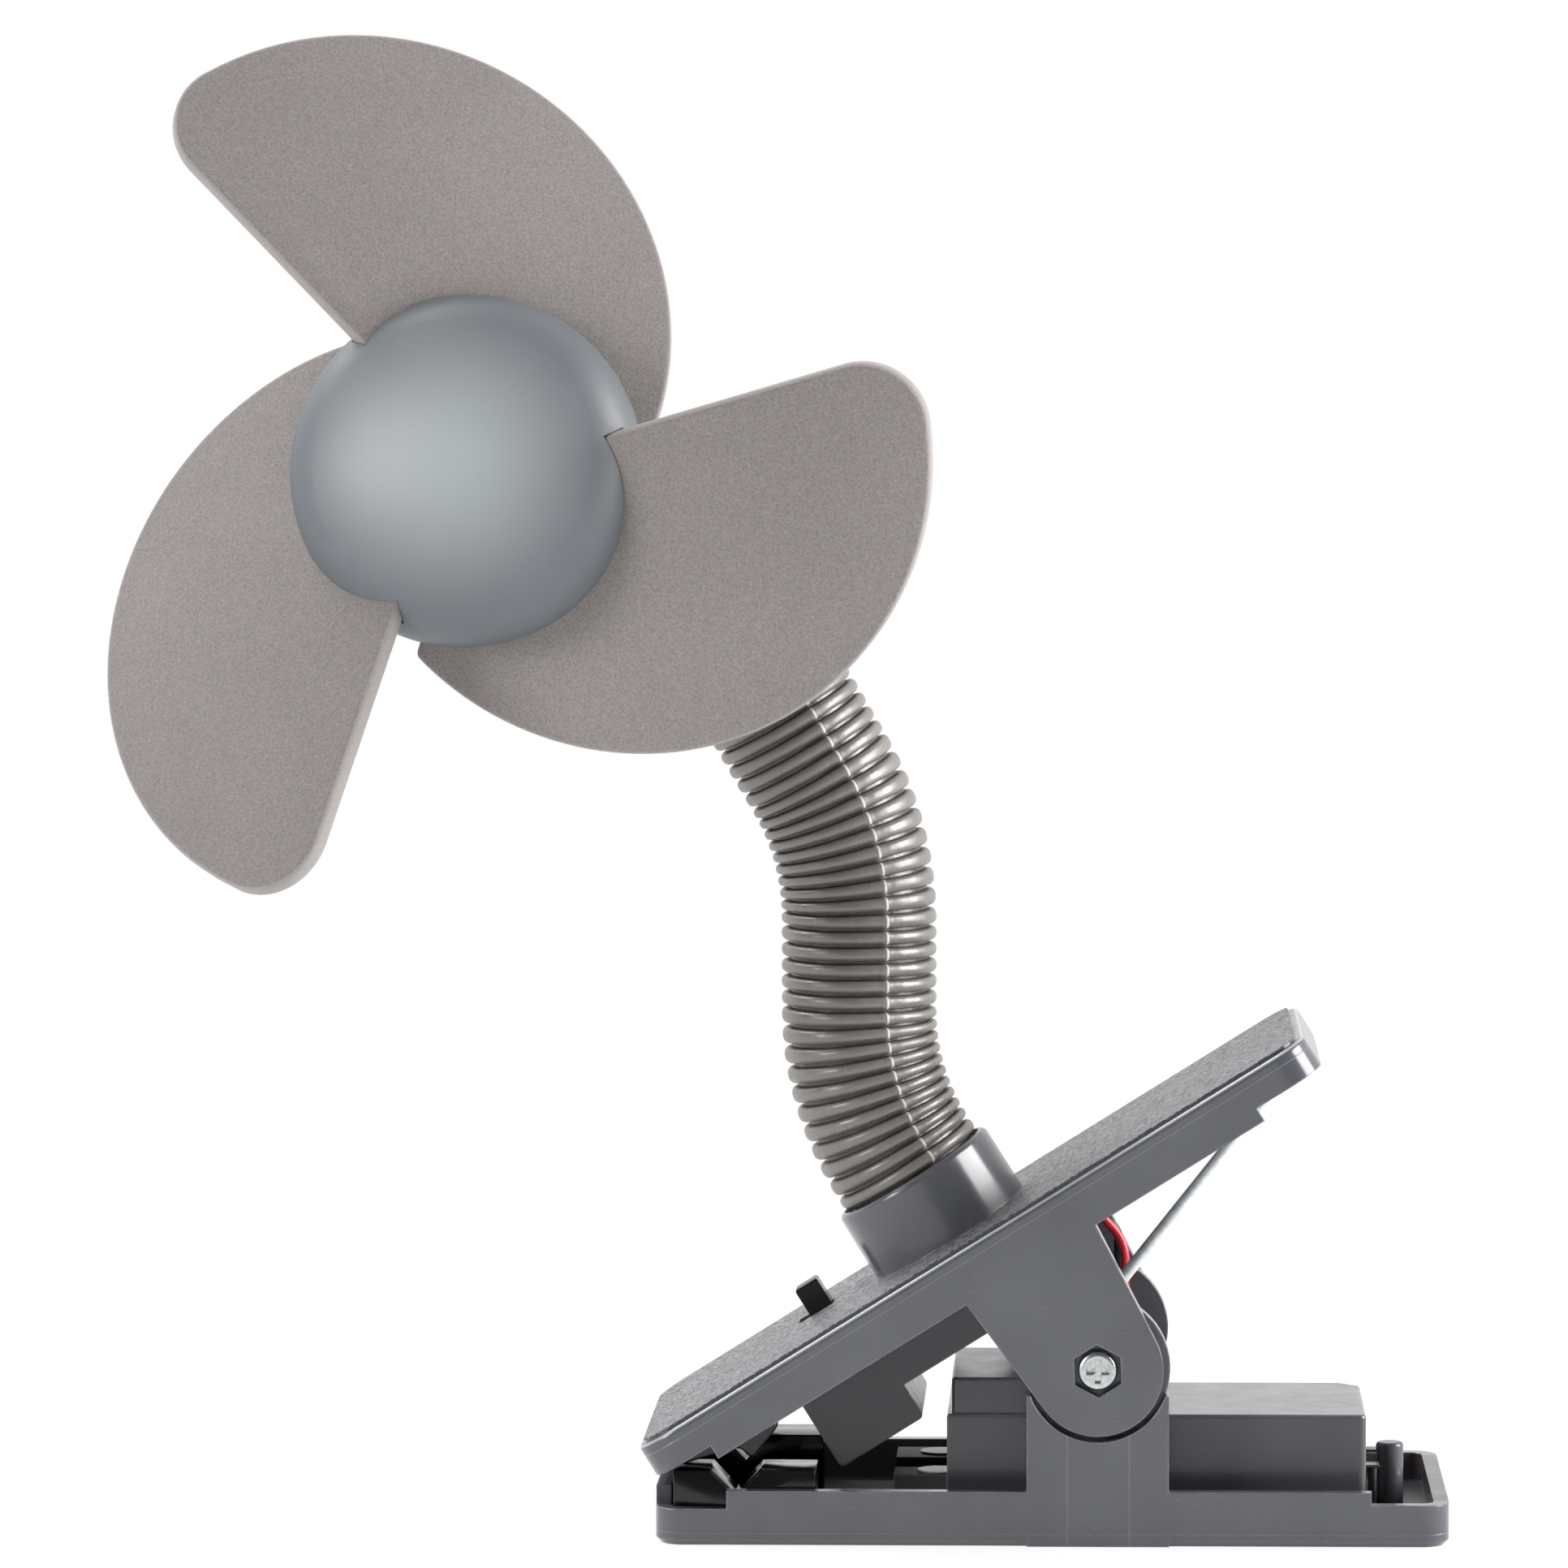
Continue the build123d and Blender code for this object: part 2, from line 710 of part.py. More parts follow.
# ---- hinge screw and nut ----------------------------------------------------------
with BuildPart() as hinge_screw:
    head_face = -half_width + 0.1
    with BuildSketch(side_view(head_face)):
        with Locations((hinge_x, hinge_z)):
            Circle(screw_head_diameter / 2)
    extrude(amount=-screw_head_height)
    fillet(hinge_screw.faces().sort_by(Axis.Y)[0].edges(), 0.7)
    with BuildSketch(side_view(head_face)):
        with Locations((hinge_x, hinge_z)):
            Circle(screw_diameter / 2)
    extrude(amount=-(base_width - 0.4))
    with BuildSketch(side_view(head_face)):
        with Locations((hinge_x, hinge_z)):
            Rectangle(screw_socket_length, screw_socket_width)
            Rectangle(screw_socket_width, screw_socket_length)
    extrude(amount=-screw_socket_depth, mode=Mode.SUBTRACT)
finish(hinge_screw, "hinge_screw")

with BuildPart() as hinge_nut:
    with BuildSketch(jaw_side(half_width - pocket_depth)):
        RegularPolygon(nut_flats / 2, 6, major_radius=False)
        Circle(screw_diameter / 2 + screw_fit, mode=Mode.SUBTRACT)
    extrude(amount=-nut_height)
finish(hinge_nut, "hinge_nut")

# ---- torsion spring ---------------------------------------------------------------
arm_direction = Vector(cos(radians(spring_upper_angle)), 0, sin(radians(spring_upper_angle)))
coil_start_side = Vector(-arm_direction.Z, 0, arm_direction.X)
coil_origin = Vector(hinge_x, spring_start, hinge_z)
coil_plane = Plane(origin=coil_origin, x_dir=coil_start_side, z_dir=(0, -1, 0))
spring_coil = coil_plane * Helix(spring_pitch, spring_pitch * spring_turns, spring_radius)
with BuildPart() as torsion_spring:
    with BuildSketch(Plane(origin=spring_coil @ 0, z_dir=spring_coil % 0)):
        Circle(spring_wire / 2)
    sweep(path=spring_coil)
    upper_start = spring_coil @ 0
    with BuildSketch(Plane(origin=upper_start, z_dir=arm_direction)):
        Circle(spring_wire / 2)
    extrude(amount=spring_upper_arm)
    lower_start = spring_coil @ 1
    lower_way = spring_coil % 1
    lower_direction = Vector(lower_way.X, 0, lower_way.Z).normalized()
    with BuildSketch(Plane(origin=lower_start, z_dir=lower_direction)):
        Circle(spring_wire / 2)
    extrude(amount=spring_lower_arm)
    with Locations(upper_start, lower_start):
        Sphere(spring_wire / 2)
finish(torsion_spring, "torsion_spring")

# ---- upper jaw --------------------------------------------------------------------
jaw_length = jaw_back - jaw_front
jaw_middle = (jaw_back + jaw_front) / 2
ear_reach = Vector(ear_spread, side_bottom)
touch_angle = atan2(side_bottom, ear_spread) - acos(ear_radius / ear_reach.length)
touch_x = ear_radius * cos(touch_angle)
touch_y = ear_radius * sin(touch_angle)
deck_direction = Axis((0, 0, 0), (-tilt_sin, 0, tilt_cos))
with BuildPart() as upper_jaw:
    with BuildSketch(jaw_deck(side_bottom)) as jaw_plan:
        with Locations((jaw_middle, 0)):
            Rectangle(jaw_length, base_width)
        fillet(jaw_plan.vertices().group_by(Axis.X)[0], jaw_front_corner)
        fillet(jaw_plan.vertices().group_by(Axis.X)[-1], jaw_back_corner)
    extrude(amount=shoulder - side_bottom)
    fillet(upper_jaw.faces().sort_by(deck_direction)[-1].edges(), bead_round)
    # grained deck, a little above the edge
    with BuildSketch(jaw_deck(shoulder)):
        with Locations((jaw_middle, 0)):
            deck_corner = jaw_back_corner - deck_inset
            deck_length = jaw_length - 2 * deck_inset
            RectangleRounded(deck_length, base_width - 2 * deck_inset, deck_corner)
    extrude(amount=deck_step)
    # hollow below
    with BuildSketch(jaw_deck(side_bottom)):
        with Locations((jaw_middle, 0)):
            RectangleRounded(jaw_length - 2 * jaw_wall, base_width - 2 * jaw_wall, 2.0)
    extrude(amount=deck_under - side_bottom, mode=Mode.SUBTRACT)
    # the walls are lower round both ends
    with BuildSketch(jaw_deck(side_bottom)):
        with Locations(((jaw_front - 1 + side_start) / 2, 0)):
            Rectangle(side_start - jaw_front + 1, base_width + 2)
        with Locations(((jaw_back + 1 + side_end) / 2, 0)):
            Rectangle(jaw_back - side_end + 1, base_width + 2)
    extrude(amount=end_bottom - side_bottom, mode=Mode.SUBTRACT)
    # ears
    for side in (-1, 1):
        with BuildSketch(jaw_side(side * half_width)):
            Circle(ear_radius)
            with BuildLine():
                Polyline(
                    (-ear_spread, side_bottom + 1),
                    (-ear_spread, side_bottom),
                    (-touch_x, touch_y),
                    (touch_x, touch_y),
                    (ear_spread, side_bottom),
                    (ear_spread, side_bottom + 1),
                    close=True,
                )
            make_face()
        extrude(amount=side * ear_thickness)
        with BuildSketch(jaw_side(side * half_width)):
            RegularPolygon(pocket_flats / 2, 6, major_radius=False)
        extrude(amount=side * pocket_depth, mode=Mode.SUBTRACT)
    with BuildSketch(jaw_side(-half_width)):
        Circle(screw_diameter / 2 + screw_fit)
    extrude(amount=-base_width, mode=Mode.SUBTRACT)
    # seat of the spring's long arm
    with BuildSketch(jaw_deck(spring_seat_height)):
        with Locations((spring_seat_place, 0)):
            Rectangle(spring_seat_length, spring_seat_width)
    extrude(amount=deck_under - spring_seat_height)
    # bosses of the cover screws
    boss_foot = cover_shallow + cover_wall
    with BuildSketch(jaw_deck(boss_foot)):
        for place in cover_screw_places:
            with Locations((place, -cover_screw_side)):
                Circle(cover_boss_diameter / 2)
    extrude(amount=deck_under - boss_foot)
    with BuildSketch(jaw_deck(boss_foot)):
        for place in cover_screw_places:
            with Locations((place, -cover_screw_side)):
                Circle(cover_screw_diameter / 2 + screw_fit)
    extrude(amount=cover_screw_length, mode=Mode.SUBTRACT)
    # collar for the neck
    with BuildSketch(jaw_deck(deck_top - 0.2)):
        with Locations((collar_place, 0)):
            Circle(collar_diameter / 2)
    extrude(amount=collar_height + 0.2, taper=collar_draft)
    fillet(upper_jaw.faces().sort_by(deck_direction)[-1].edges(), collar_edge)
    with BuildSketch(jaw_deck(deck_top)):
        with Locations((collar_place, 0)):
            Circle(neck_diameter / 2 + neck_fit)
    extrude(amount=collar_height + 1, mode=Mode.SUBTRACT)
    with BuildSketch(jaw_deck(deck_under - 1)):
        with Locations((collar_place, 0)):
            Circle(gooseneck_outer / 2 + neck_fit)
    extrude(amount=deck_thickness + 2, mode=Mode.SUBTRACT)
    # slot of the switch knob
    with BuildSketch(jaw_deck(deck_under - 1)):
        with Locations((knob_place - knob_travel / 2, knob_side)):
            slot_length = knob_length + knob_travel + 2 * knob_gap
            Rectangle(slot_length, knob_width + 2 * knob_gap)
    extrude(amount=deck_thickness + 2, mode=Mode.SUBTRACT)
finish(upper_jaw, "upper_jaw")

# ---- upper grip pads --------------------------------------------------------------
for side, place in ((-1, "near"), (1, "far")):
    with BuildPart() as upper_pad:
        with BuildSketch(jaw_side(side * (pad_inner + pad_width))):
            with BuildLine():
                Polyline(
                    (upper_pad_front, deck_under),
                    (upper_pad_front, upper_pad_lip),
                    (tooth_start, tooth_root),
                    (tooth_tip_place, tooth_tip),
                    (upper_pad_back, tooth_heel),
                    (upper_pad_back, deck_under),
                    close=True,
                )
            make_face()
        extrude(amount=side * pad_width)
    finish(upper_pad, f"upper_pad_{place}")

# ---- switch, knob and cover -------------------------------------------------------
with BuildPart() as switch_body:
    with BuildSketch(jaw_deck(deck_under - switch_height)):
        with Locations((switch_place, knob_side)):
            Rectangle(switch_length, switch_width)
    extrude(amount=switch_height)
finish(switch_body, "switch_body")

with BuildPart() as switch_knob:
    with BuildSketch(jaw_deck(deck_under + knob_gap)):
        with Locations((knob_place, knob_side)):
            Rectangle(knob_length, knob_width)
    extrude(amount=deck_thickness - knob_gap + knob_rise)
    fillet(switch_knob.faces().sort_by(deck_direction)[-1].edges(), knob_round)
finish(switch_knob, "switch_knob")

with BuildPart() as switch_cover:
    with BuildSketch(jaw_side(-cover_width / 2)):
        with BuildLine():
            Polyline(
                (cover_front, deck_under),
                (cover_front, cover_deep),
                (cover_step, cover_deep),
                (cover_step, cover_shallow),
                (cover_back, cover_shallow),
                (cover_back, deck_under),
                close=True,
            )
        make_face()
    extrude(amount=-cover_width)
    long_edges = switch_cover.edges().filter_by(Axis.Y)
    fillet(long_edges.sort_by(Axis.Z)[:2], 0.8)
    with BuildSketch(jaw_side(-cover_width / 2 + cover_wall)):
        with BuildLine():
            Polyline(
                (cover_front + cover_wall, deck_under),
                (cover_front + cover_wall, cover_deep + cover_wall),
                (cover_step - cover_wall, cover_deep + cover_wall),
                (cover_step - cover_wall, cover_shallow + cover_wall),
                (cover_back - cover_wall, cover_shallow + cover_wall),
                (cover_back - cover_wall, deck_under),
                close=True,
            )
        make_face()
    extrude(amount=-(cover_width - 2 * cover_wall), mode=Mode.SUBTRACT)
    # the leads pass through a notch in the wall towards the hinge
    with BuildSketch(jaw_deck(deck_under - cover_notch_depth)):
        with Locations((cover_back, cover_notch_side)):
            Rectangle(4 * cover_wall, cover_notch_width)
    extrude(amount=cover_notch_depth, mode=Mode.SUBTRACT)
    with BuildSketch(jaw_deck(cover_shallow - 1)):
        for place in cover_screw_places:
            with Locations((place, -cover_screw_side)):
                Circle(cover_screw_diameter / 2 + screw_fit)
    extrude(amount=cover_wall + 1, mode=Mode.SUBTRACT)
    # the screw heads are sunk in its underside
    with BuildSketch(jaw_deck(cover_shallow - 1)):
        for place in cover_screw_places:
            with Locations((place, -cover_screw_side)):
                Circle(cover_screw_head / 2 + screw_fit)
    extrude(amount=cover_screw_head_height + 1, mode=Mode.SUBTRACT)
finish(switch_cover, "switch_cover")

for number, place in enumerate(cover_screw_places, start=1):
    with BuildPart() as cover_screw:
        with BuildSketch(jaw_deck(cover_shallow)):
            with Locations((place, -cover_screw_side)):
                Circle(cover_screw_diameter / 2)
        extrude(amount=cover_screw_length)
        with BuildSketch(jaw_deck(cover_shallow)):
            with Locations((place, -cover_screw_side)):
                Circle(cover_screw_head / 2)
        extrude(amount=cover_screw_head_height)
        with BuildSketch(jaw_deck(cover_shallow)):
            with Locations((place, -cover_screw_side)):
                Rectangle(2.4, 0.6)
                Rectangle(0.6, 2.4)
        extrude(amount=cover_screw_slot_depth, mode=Mode.SUBTRACT)
    finish(cover_screw, f"cover_screw_{number}")

# ---- neck -------------------------------------------------------------------------
turn_cos = cos(radians(fan_turn))
turn_sin = sin(radians(fan_turn))
rise_cos = cos(radians(fan_rise))
fan_axis = Vector(-turn_sin * rise_cos, -turn_cos * rise_cos, sin(radians(fan_rise)))
fan_side = Vector(turn_cos, -turn_sin, 0)
fan_middle = Vector(*fan_centre)
motor_front = housing_front_face - housing_wall
motor_back = motor_front - motor_length - motor_cap_length
neck_top = fan_middle + fan_axis * housing_rear_face
with BuildLine() as neck_line:
    FilletPolyline(
        jaw_point(collar_place, neck_start_height),
        jaw_point(collar_place, first_bend_height),
        second_bend,
        third_bend,
        neck_top - fan_axis * last_straight,
        fan_middle + fan_axis * (motor_back - 0.1),
        radius=neck_bends,
    )
neck_path = neck_line.wires()[0]
path_length = neck_path.length
deck_place = deck_top - neck_start_height
nut_place = deck_under - gooseneck_nut_height - neck_start_height
sleeve_end = path_length - (motor_back - 0.1 - housing_rear_face)
first_rib = deck_place + collar_height + rib_pitch / 2
stations = []
for number in range(neck_joints):
    ribs_below = ribs_before_joint + number * (ribs_between_joints + 1)
    stations.append(first_rib + rib_pitch * ribs_below)


def neck_part(start, end):
    """The stretch of the neck's middle line between two places."""
    return neck_path.trim(start / path_length, end / path_length)


def neck_plane(place):
    """Plane across the neck."""
    spot = neck_path.position_at(place, position_mode=PositionMode.LENGTH)
    way = neck_path.tangent_at(place, position_mode=PositionMode.LENGTH)
    return Plane(origin=spot, z_dir=way)


def neck_side(across):
    """Plane through the neck's middle line, square to a plane across it."""
    return Plane(origin=across.origin, x_dir=across.x_dir, z_dir=across.y_dir)


def neck_span(index, gap, start, end):
    """Start and end of one of the neck's lengths, with half the gap at each joint."""
    low = start if index == 0 else stations[index - 1] + gap / 2
    high = end if index == neck_joints else stations[index] - gap / 2
    return low, high


for index in range(neck_joints + 1):
    low, high = neck_span(index, neck_joint_gap, deck_place, sleeve_end)
    with BuildPart() as neck_sleeve:
        stretch = neck_part(low, high)
        with BuildSketch(Plane(origin=stretch @ 0, z_dir=stretch % 0)):
            Circle(neck_core_diameter / 2)
            Circle(neck_bore / 2, mode=Mode.SUBTRACT)
        sweep(path=stretch)
        rib = first_rib
        while rib < sleeve_end - socket_depth - rib_pitch / 2:
            if low < rib < high:
                with BuildSketch(neck_plane(rib)):
                    Circle(neck_diameter / 2)
                    Circle(neck_core_diameter / 2 - rib_root_depth, mode=Mode.SUBTRACT)
                extrude(amount=rib_width / 2, both=True)
            rib = rib + rib_pitch
        crowns = neck_sleeve.edges().filter_by(GeomType.CIRCLE)
        crowns = crowns.filter_by(lambda edge: abs(edge.radius - neck_diameter / 2) < 0.01)
        fillet(crowns, rib_round)
        # plain ends, held in the collar and in the head
        plugs = []
        if index == 0:
            plugs = [(deck_place, collar_height - 0.6)]
        if index == neck_joints:
            plugs = [(sleeve_end, -socket_depth)]
        for place, length in plugs:
            with BuildSketch(neck_plane(place)):
                Circle(neck_diameter / 2)
                Circle(neck_core_diameter / 2 - rib_root_depth, mode=Mode.SUBTRACT)
            extrude(amount=length)
        # the ends are cut back where the next length swings towards them
        for station in stations[max(index - 1, 0) : index + 1]:
            swing_plane = neck_plane(station)
            swing_rise = neck_diameter * sin(radians(neck_swing_clearance))
            with BuildSketch(neck_side(swing_plane)):
                with BuildLine():
                    Polyline(
                        (0, 0),
                        (neck_diameter, swing_rise),
                        (neck_diameter, -swing_rise),
                        close=True,
                    )
                make_face()
            revolve(axis=Axis(swing_plane.origin, swing_plane.z_dir), mode=Mode.SUBTRACT)
    finish(neck_sleeve, f"neck_sleeve_{index + 1}")

# each length of the gooseneck ends in a hollow ball that turns inside the next one
for index in range(neck_joints + 1):
    low = nut_place - 0.6 if index == 0 else stations[index - 1] - ball_lap
    high = sleeve_end if index == neck_joints else stations[index] - ball_neck_length
    with BuildPart() as gooseneck:
        stretch = neck_part(low, high)
        with BuildSketch(Plane(origin=stretch @ 0, z_dir=stretch % 0)):
            Circle(gooseneck_outer / 2)
            Circle(gooseneck_inner / 2, mode=Mode.SUBTRACT)
        sweep(path=stretch)
        if index < neck_joints:
            joint_plane = neck_plane(stations[index])
            with BuildSketch(joint_plane.offset(-ball_neck_length - 0.7)):
                Circle(gooseneck_outer / 2 - 0.3)
                Circle(ball_bore / 2, mode=Mode.SUBTRACT)
            extrude(amount=0.7)
            with BuildSketch(joint_plane.offset(-ball_neck_length - 0.3)):
                Circle(ball_neck_outer / 2)
                Circle(ball_bore / 2, mode=Mode.SUBTRACT)
            extrude(amount=ball_neck_length + 0.3 - ball_back + 0.4)
            with BuildSketch(neck_side(joint_plane)):
                Circle(ball_radius)
                with Locations((-ball_radius, 0)):
                    Rectangle(2 * ball_radius, 3 * ball_radius, mode=Mode.SUBTRACT)
                with Locations((ball_radius / 2, 0)):
                    Rectangle(ball_radius, ball_front + ball_back, mode=Mode.INTERSECT)
                Rectangle(ball_bore, 3 * ball_radius, mode=Mode.SUBTRACT)
            revolve(axis=Axis(joint_plane.origin, joint_plane.z_dir))
    finish(gooseneck, f"gooseneck_{index + 1}")

for index in range(neck_joints + 1):
    low, high = neck_span(index, lead_joint_gap, 0, path_length)
    with BuildPart() as motor_leads:
        stretch = neck_part(low, high)
        with BuildSketch(Plane(origin=stretch @ 0, z_dir=stretch % 0)):
            with Locations((0, motor_lead_offset), (0, -motor_lead_offset)):
                Circle(motor_lead_diameter / 2)
        sweep(path=stretch)
    finish(motor_leads, f"motor_leads_{index + 1}")

with BuildPart() as neck_nut:
    with BuildSketch(jaw_deck(deck_under - gooseneck_nut_height)):
        with Locations((collar_place, 0)):
            RegularPolygon(gooseneck_nut_flats / 2, 6, major_radius=False)
            Circle(gooseneck_outer / 2 + 0.05, mode=Mode.SUBTRACT)
    extrude(amount=gooseneck_nut_height)
finish(neck_nut, "neck_nut")


# ---- fan head ---------------------------------------------------------------------
def fan_plane(height):
    """Plane across the fan's axis."""
    return Plane(origin=fan_middle + fan_axis * height, x_dir=fan_side, z_dir=fan_axis)


with BuildPart() as housing_front:
    with BuildSketch(fan_plane(housing_seam)):
        Circle(housing_diameter / 2)
    extrude(amount=housing_front_face - housing_seam)
    front_rim = housing_front.edges().filter_by(GeomType.CIRCLE).sort_by(Axis.Y)
    fillet(front_rim[0], 1.2)
    with BuildSketch(fan_plane(housing_seam)):
        Circle(motor_diameter / 2 + motor_fit)
    extrude(amount=motor_front - housing_seam, mode=Mode.SUBTRACT)
    with BuildSketch(fan_plane(motor_front - 1)):
        Circle(housing_mouth / 2)
    extrude(amount=housing_wall + 2, mode=Mode.SUBTRACT)
finish(housing_front, "housing_front")

with BuildPart() as housing_rear:
    with BuildSketch(fan_plane(housing_rear_face)):
        Circle(housing_diameter / 2)
    extrude(amount=housing_seam - housing_rear_face)
    rear_rim = housing_rear.edges().filter_by(GeomType.CIRCLE).sort_by(Axis.Y)
    fillet(rear_rim[-1], 1.8)
    with BuildSketch(fan_plane(housing_rear_face)):
        Circle(socket_outer / 2)
    extrude(amount=-socket_depth)
    with BuildSketch(fan_plane(housing_rear_face)):
        Circle(neck_diameter / 2 + neck_fit)
    extrude(amount=-socket_depth, mode=Mode.SUBTRACT)
    with BuildSketch(fan_plane(housing_rear_face + housing_wall)):
        Circle(housing_diameter / 2 - housing_wall)
    extrude(amount=housing_seam - housing_rear_face, mode=Mode.SUBTRACT)
    with BuildSketch(fan_plane(housing_rear_face - 1)):
        Circle(lead_hole / 2)
    extrude(amount=housing_wall + 2, mode=Mode.SUBTRACT)
finish(housing_rear, "housing_rear")

with BuildPart() as motor_can:
    with BuildSketch(fan_plane(motor_front)):
        Circle(motor_diameter / 2)
    extrude(amount=-motor_length)
    with BuildSketch(fan_plane(motor_front - motor_wall)):
        Circle(motor_diameter / 2 - motor_wall)
    extrude(amount=-motor_length, mode=Mode.SUBTRACT)
    with BuildSketch(fan_plane(motor_front)):
        Circle(shaft_diameter)
    extrude(amount=-motor_wall, mode=Mode.SUBTRACT)
finish(motor_can, "motor_can")

with BuildPart() as motor_bush:
    with BuildSketch(fan_plane(motor_front)):
        Circle(bush_diameter / 2)
        Circle(shaft_diameter / 2 + shaft_fit, mode=Mode.SUBTRACT)
    extrude(amount=bush_length)
finish(motor_bush, "motor_bush")

with BuildPart() as motor_end_cap:
    with BuildSketch(fan_plane(motor_back)):
        Circle(motor_diameter / 2)
    extrude(amount=motor_cap_length)
    with BuildSketch(fan_plane(shaft_rear - 0.3)):
        Circle(shaft_diameter / 2 + shaft_fit)
    extrude(amount=motor_cap_length, mode=Mode.SUBTRACT)
finish(motor_end_cap, "motor_end_cap")

# ---- rotor ------------------------------------------------------------------------
with BuildPart() as motor_shaft:
    with BuildSketch(fan_plane(shaft_rear)):
        Circle(shaft_diameter / 2)
    extrude(amount=shaft_front - shaft_rear)
finish(motor_shaft, "motor_shaft")

with BuildPart() as armature:
    with BuildSketch(fan_plane(armature_front)):
        Circle(armature_diameter / 2)
        Circle(shaft_diameter / 2, mode=Mode.SUBTRACT)
        # three gaps between the windings
        with PolarLocations(armature_diameter / 2, 3):
            Rectangle(armature_gap_depth, armature_gap_width, mode=Mode.SUBTRACT)
    extrude(amount=-armature_length)
finish(armature, "armature")


def blade_frame(index):
    """Plane of a blade's front face, with its directions along and across."""
    angle = radians(blade_first - 360 / blade_count * index)
    rim = fan_plane(0)
    along = rim.x_dir * cos(angle) + rim.y_dir * sin(angle)
    across = rim.x_dir * sin(angle) - rim.y_dir * cos(angle)
    origin = fan_middle + along * blade_corner + fan_axis * blade_level
    face = (fan_axis - along * blade_rise + across * blade_pitch).normalized()
    return Plane(origin=origin, x_dir=along + fan_axis * blade_rise, z_dir=face), along, across


def blade_spot(index, x, y):
    """A point of a blade's outline in the plane of its front face."""
    plane, along, across = blade_frame(index)
    height = blade_level + blade_rise * (x - blade_corner) - blade_pitch * y
    spot = plane.to_local_coords(fan_middle + along * x + across * y + fan_axis * height)
    return (spot.X, spot.Y)


half_spread = radians(root_spread / 2)
full_spread = radians(root_spread)
root_first = (blade_root, 0.0)
root_middle = (blade_root * cos(half_spread), blade_root * sin(half_spread))
root_last = (blade_root * cos(full_spread), blade_root * sin(full_spread))
slots = []
for index in range(blade_count):
    first = blade_spot(index, *root_first)
    corner = blade_spot(index, blade_corner, -0.5)
    straight_end = blade_spot(index, *blade_straight_end)
    tip_middle = blade_spot(index, *blade_tip_middle)
    tip_end = blade_spot(index, *blade_tip_end)
    crown = blade_spot(index, *blade_crown)
    trailing = blade_spot(index, *blade_trailing)
    last = blade_spot(index, *root_last)
    middle = blade_spot(index, *root_middle)
    front = blade_frame(index)[0]
    with BuildPart() as blade:
        with BuildSketch(front) as outline:
            with BuildLine():
                Line(first, corner)
                Line(corner, straight_end)
                ThreePointArc(straight_end, tip_middle, tip_end)
                ThreePointArc(tip_end, crown, trailing)
                Line(trailing, last)
                ThreePointArc(last, middle, first)
            make_face()
        extrude(amount=-blade_thickness)
    finish(blade, f"blade_{index + 1}")
    # the same outline, a little larger, cuts the slots in the drum and the dome
    with BuildPart() as slot:
        with BuildSketch(front.offset(blade_slot_gap)):
            add(outline.sketch_local)
            offset(amount=blade_slot_gap)
        extrude(amount=-(blade_thickness + 2 * blade_slot_gap))
    slots.append(slot.part)

with BuildPart() as hub_drum:
    with BuildSketch(fan_plane(drum_rear)):
        Circle(drum_radius)
    extrude(amount=drum_front - drum_rear)
    with BuildSketch(fan_plane(drum_rear + drum_floor)):
        Circle(drum_bore_radius)
        Circle(drum_boss_radius, mode=Mode.SUBTRACT)
    extrude(amount=drum_front - drum_rear, mode=Mode.SUBTRACT)
    with BuildSketch(fan_plane(drum_rear)):
        Circle(shaft_diameter / 2)
    extrude(amount=shaft_front - drum_rear, mode=Mode.SUBTRACT)
    for slot_solid in slots:
        add(slot_solid, mode=Mode.SUBTRACT)
finish(hub_drum, "hub_drum")

dome_section = Plane(origin=fan_middle, x_dir=fan_side, z_dir=fan_side.cross(fan_axis))
rim_centre = dome_radius - dome_rim_round
crown_square = rim_centre**2 + dome_height**2 - dome_rim_round**2
crown_radius = crown_square / (2 * (dome_height - dome_rim_round))
crown_centre = dome_height - crown_radius
meeting = degrees(atan2(-crown_centre, rim_centre))
inner_height = dome_height - dome_wall
inner_radius = dome_radius - dome_wall
with BuildPart() as hub_dome:
    with BuildSketch(dome_section):
        with BuildLine():
            CenterArc((rim_centre, 0), dome_rim_round, 0, meeting)
            CenterArc((0, crown_centre), crown_radius, meeting, 90 - meeting)
            Line((0, dome_height), (0, inner_height))
            CenterArc((0, crown_centre), crown_radius - dome_wall, meeting, 90 - meeting)
            CenterArc((rim_centre, 0), dome_rim_round - dome_wall, 0, meeting)
            Line((inner_radius, 0), (inner_radius, -dome_skirt))
            Line((inner_radius, -dome_skirt), (dome_radius, -dome_skirt))
            Line((dome_radius, -dome_skirt), (dome_radius, 0))
        make_face()
    revolve(axis=Axis(fan_centre, fan_axis))
    for slot_solid in slots:
        add(slot_solid, mode=Mode.SUBTRACT)
    with BuildSketch(fan_plane(drum_front)):
        Circle(drum_boss_radius)
    extrude(amount=inner_height - drum_front + 0.3)
finish(hub_dome, "hub_dome")

# ---- places of the joints ---------------------------------------------------------
print(f"neck length {path_length:.2f}, sleeve ends at {sleeve_end:.2f}")
for number, station in enumerate(stations, start=1):
    spot = neck_plane(station)
    print(f"neck joint {number}: {spot.origin} along {spot.z_dir}")
print(f"fan axis {fan_axis}")
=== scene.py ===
from math import cos, pi, radians, sin, tan

import bpy
from mathutils import Matrix, Vector


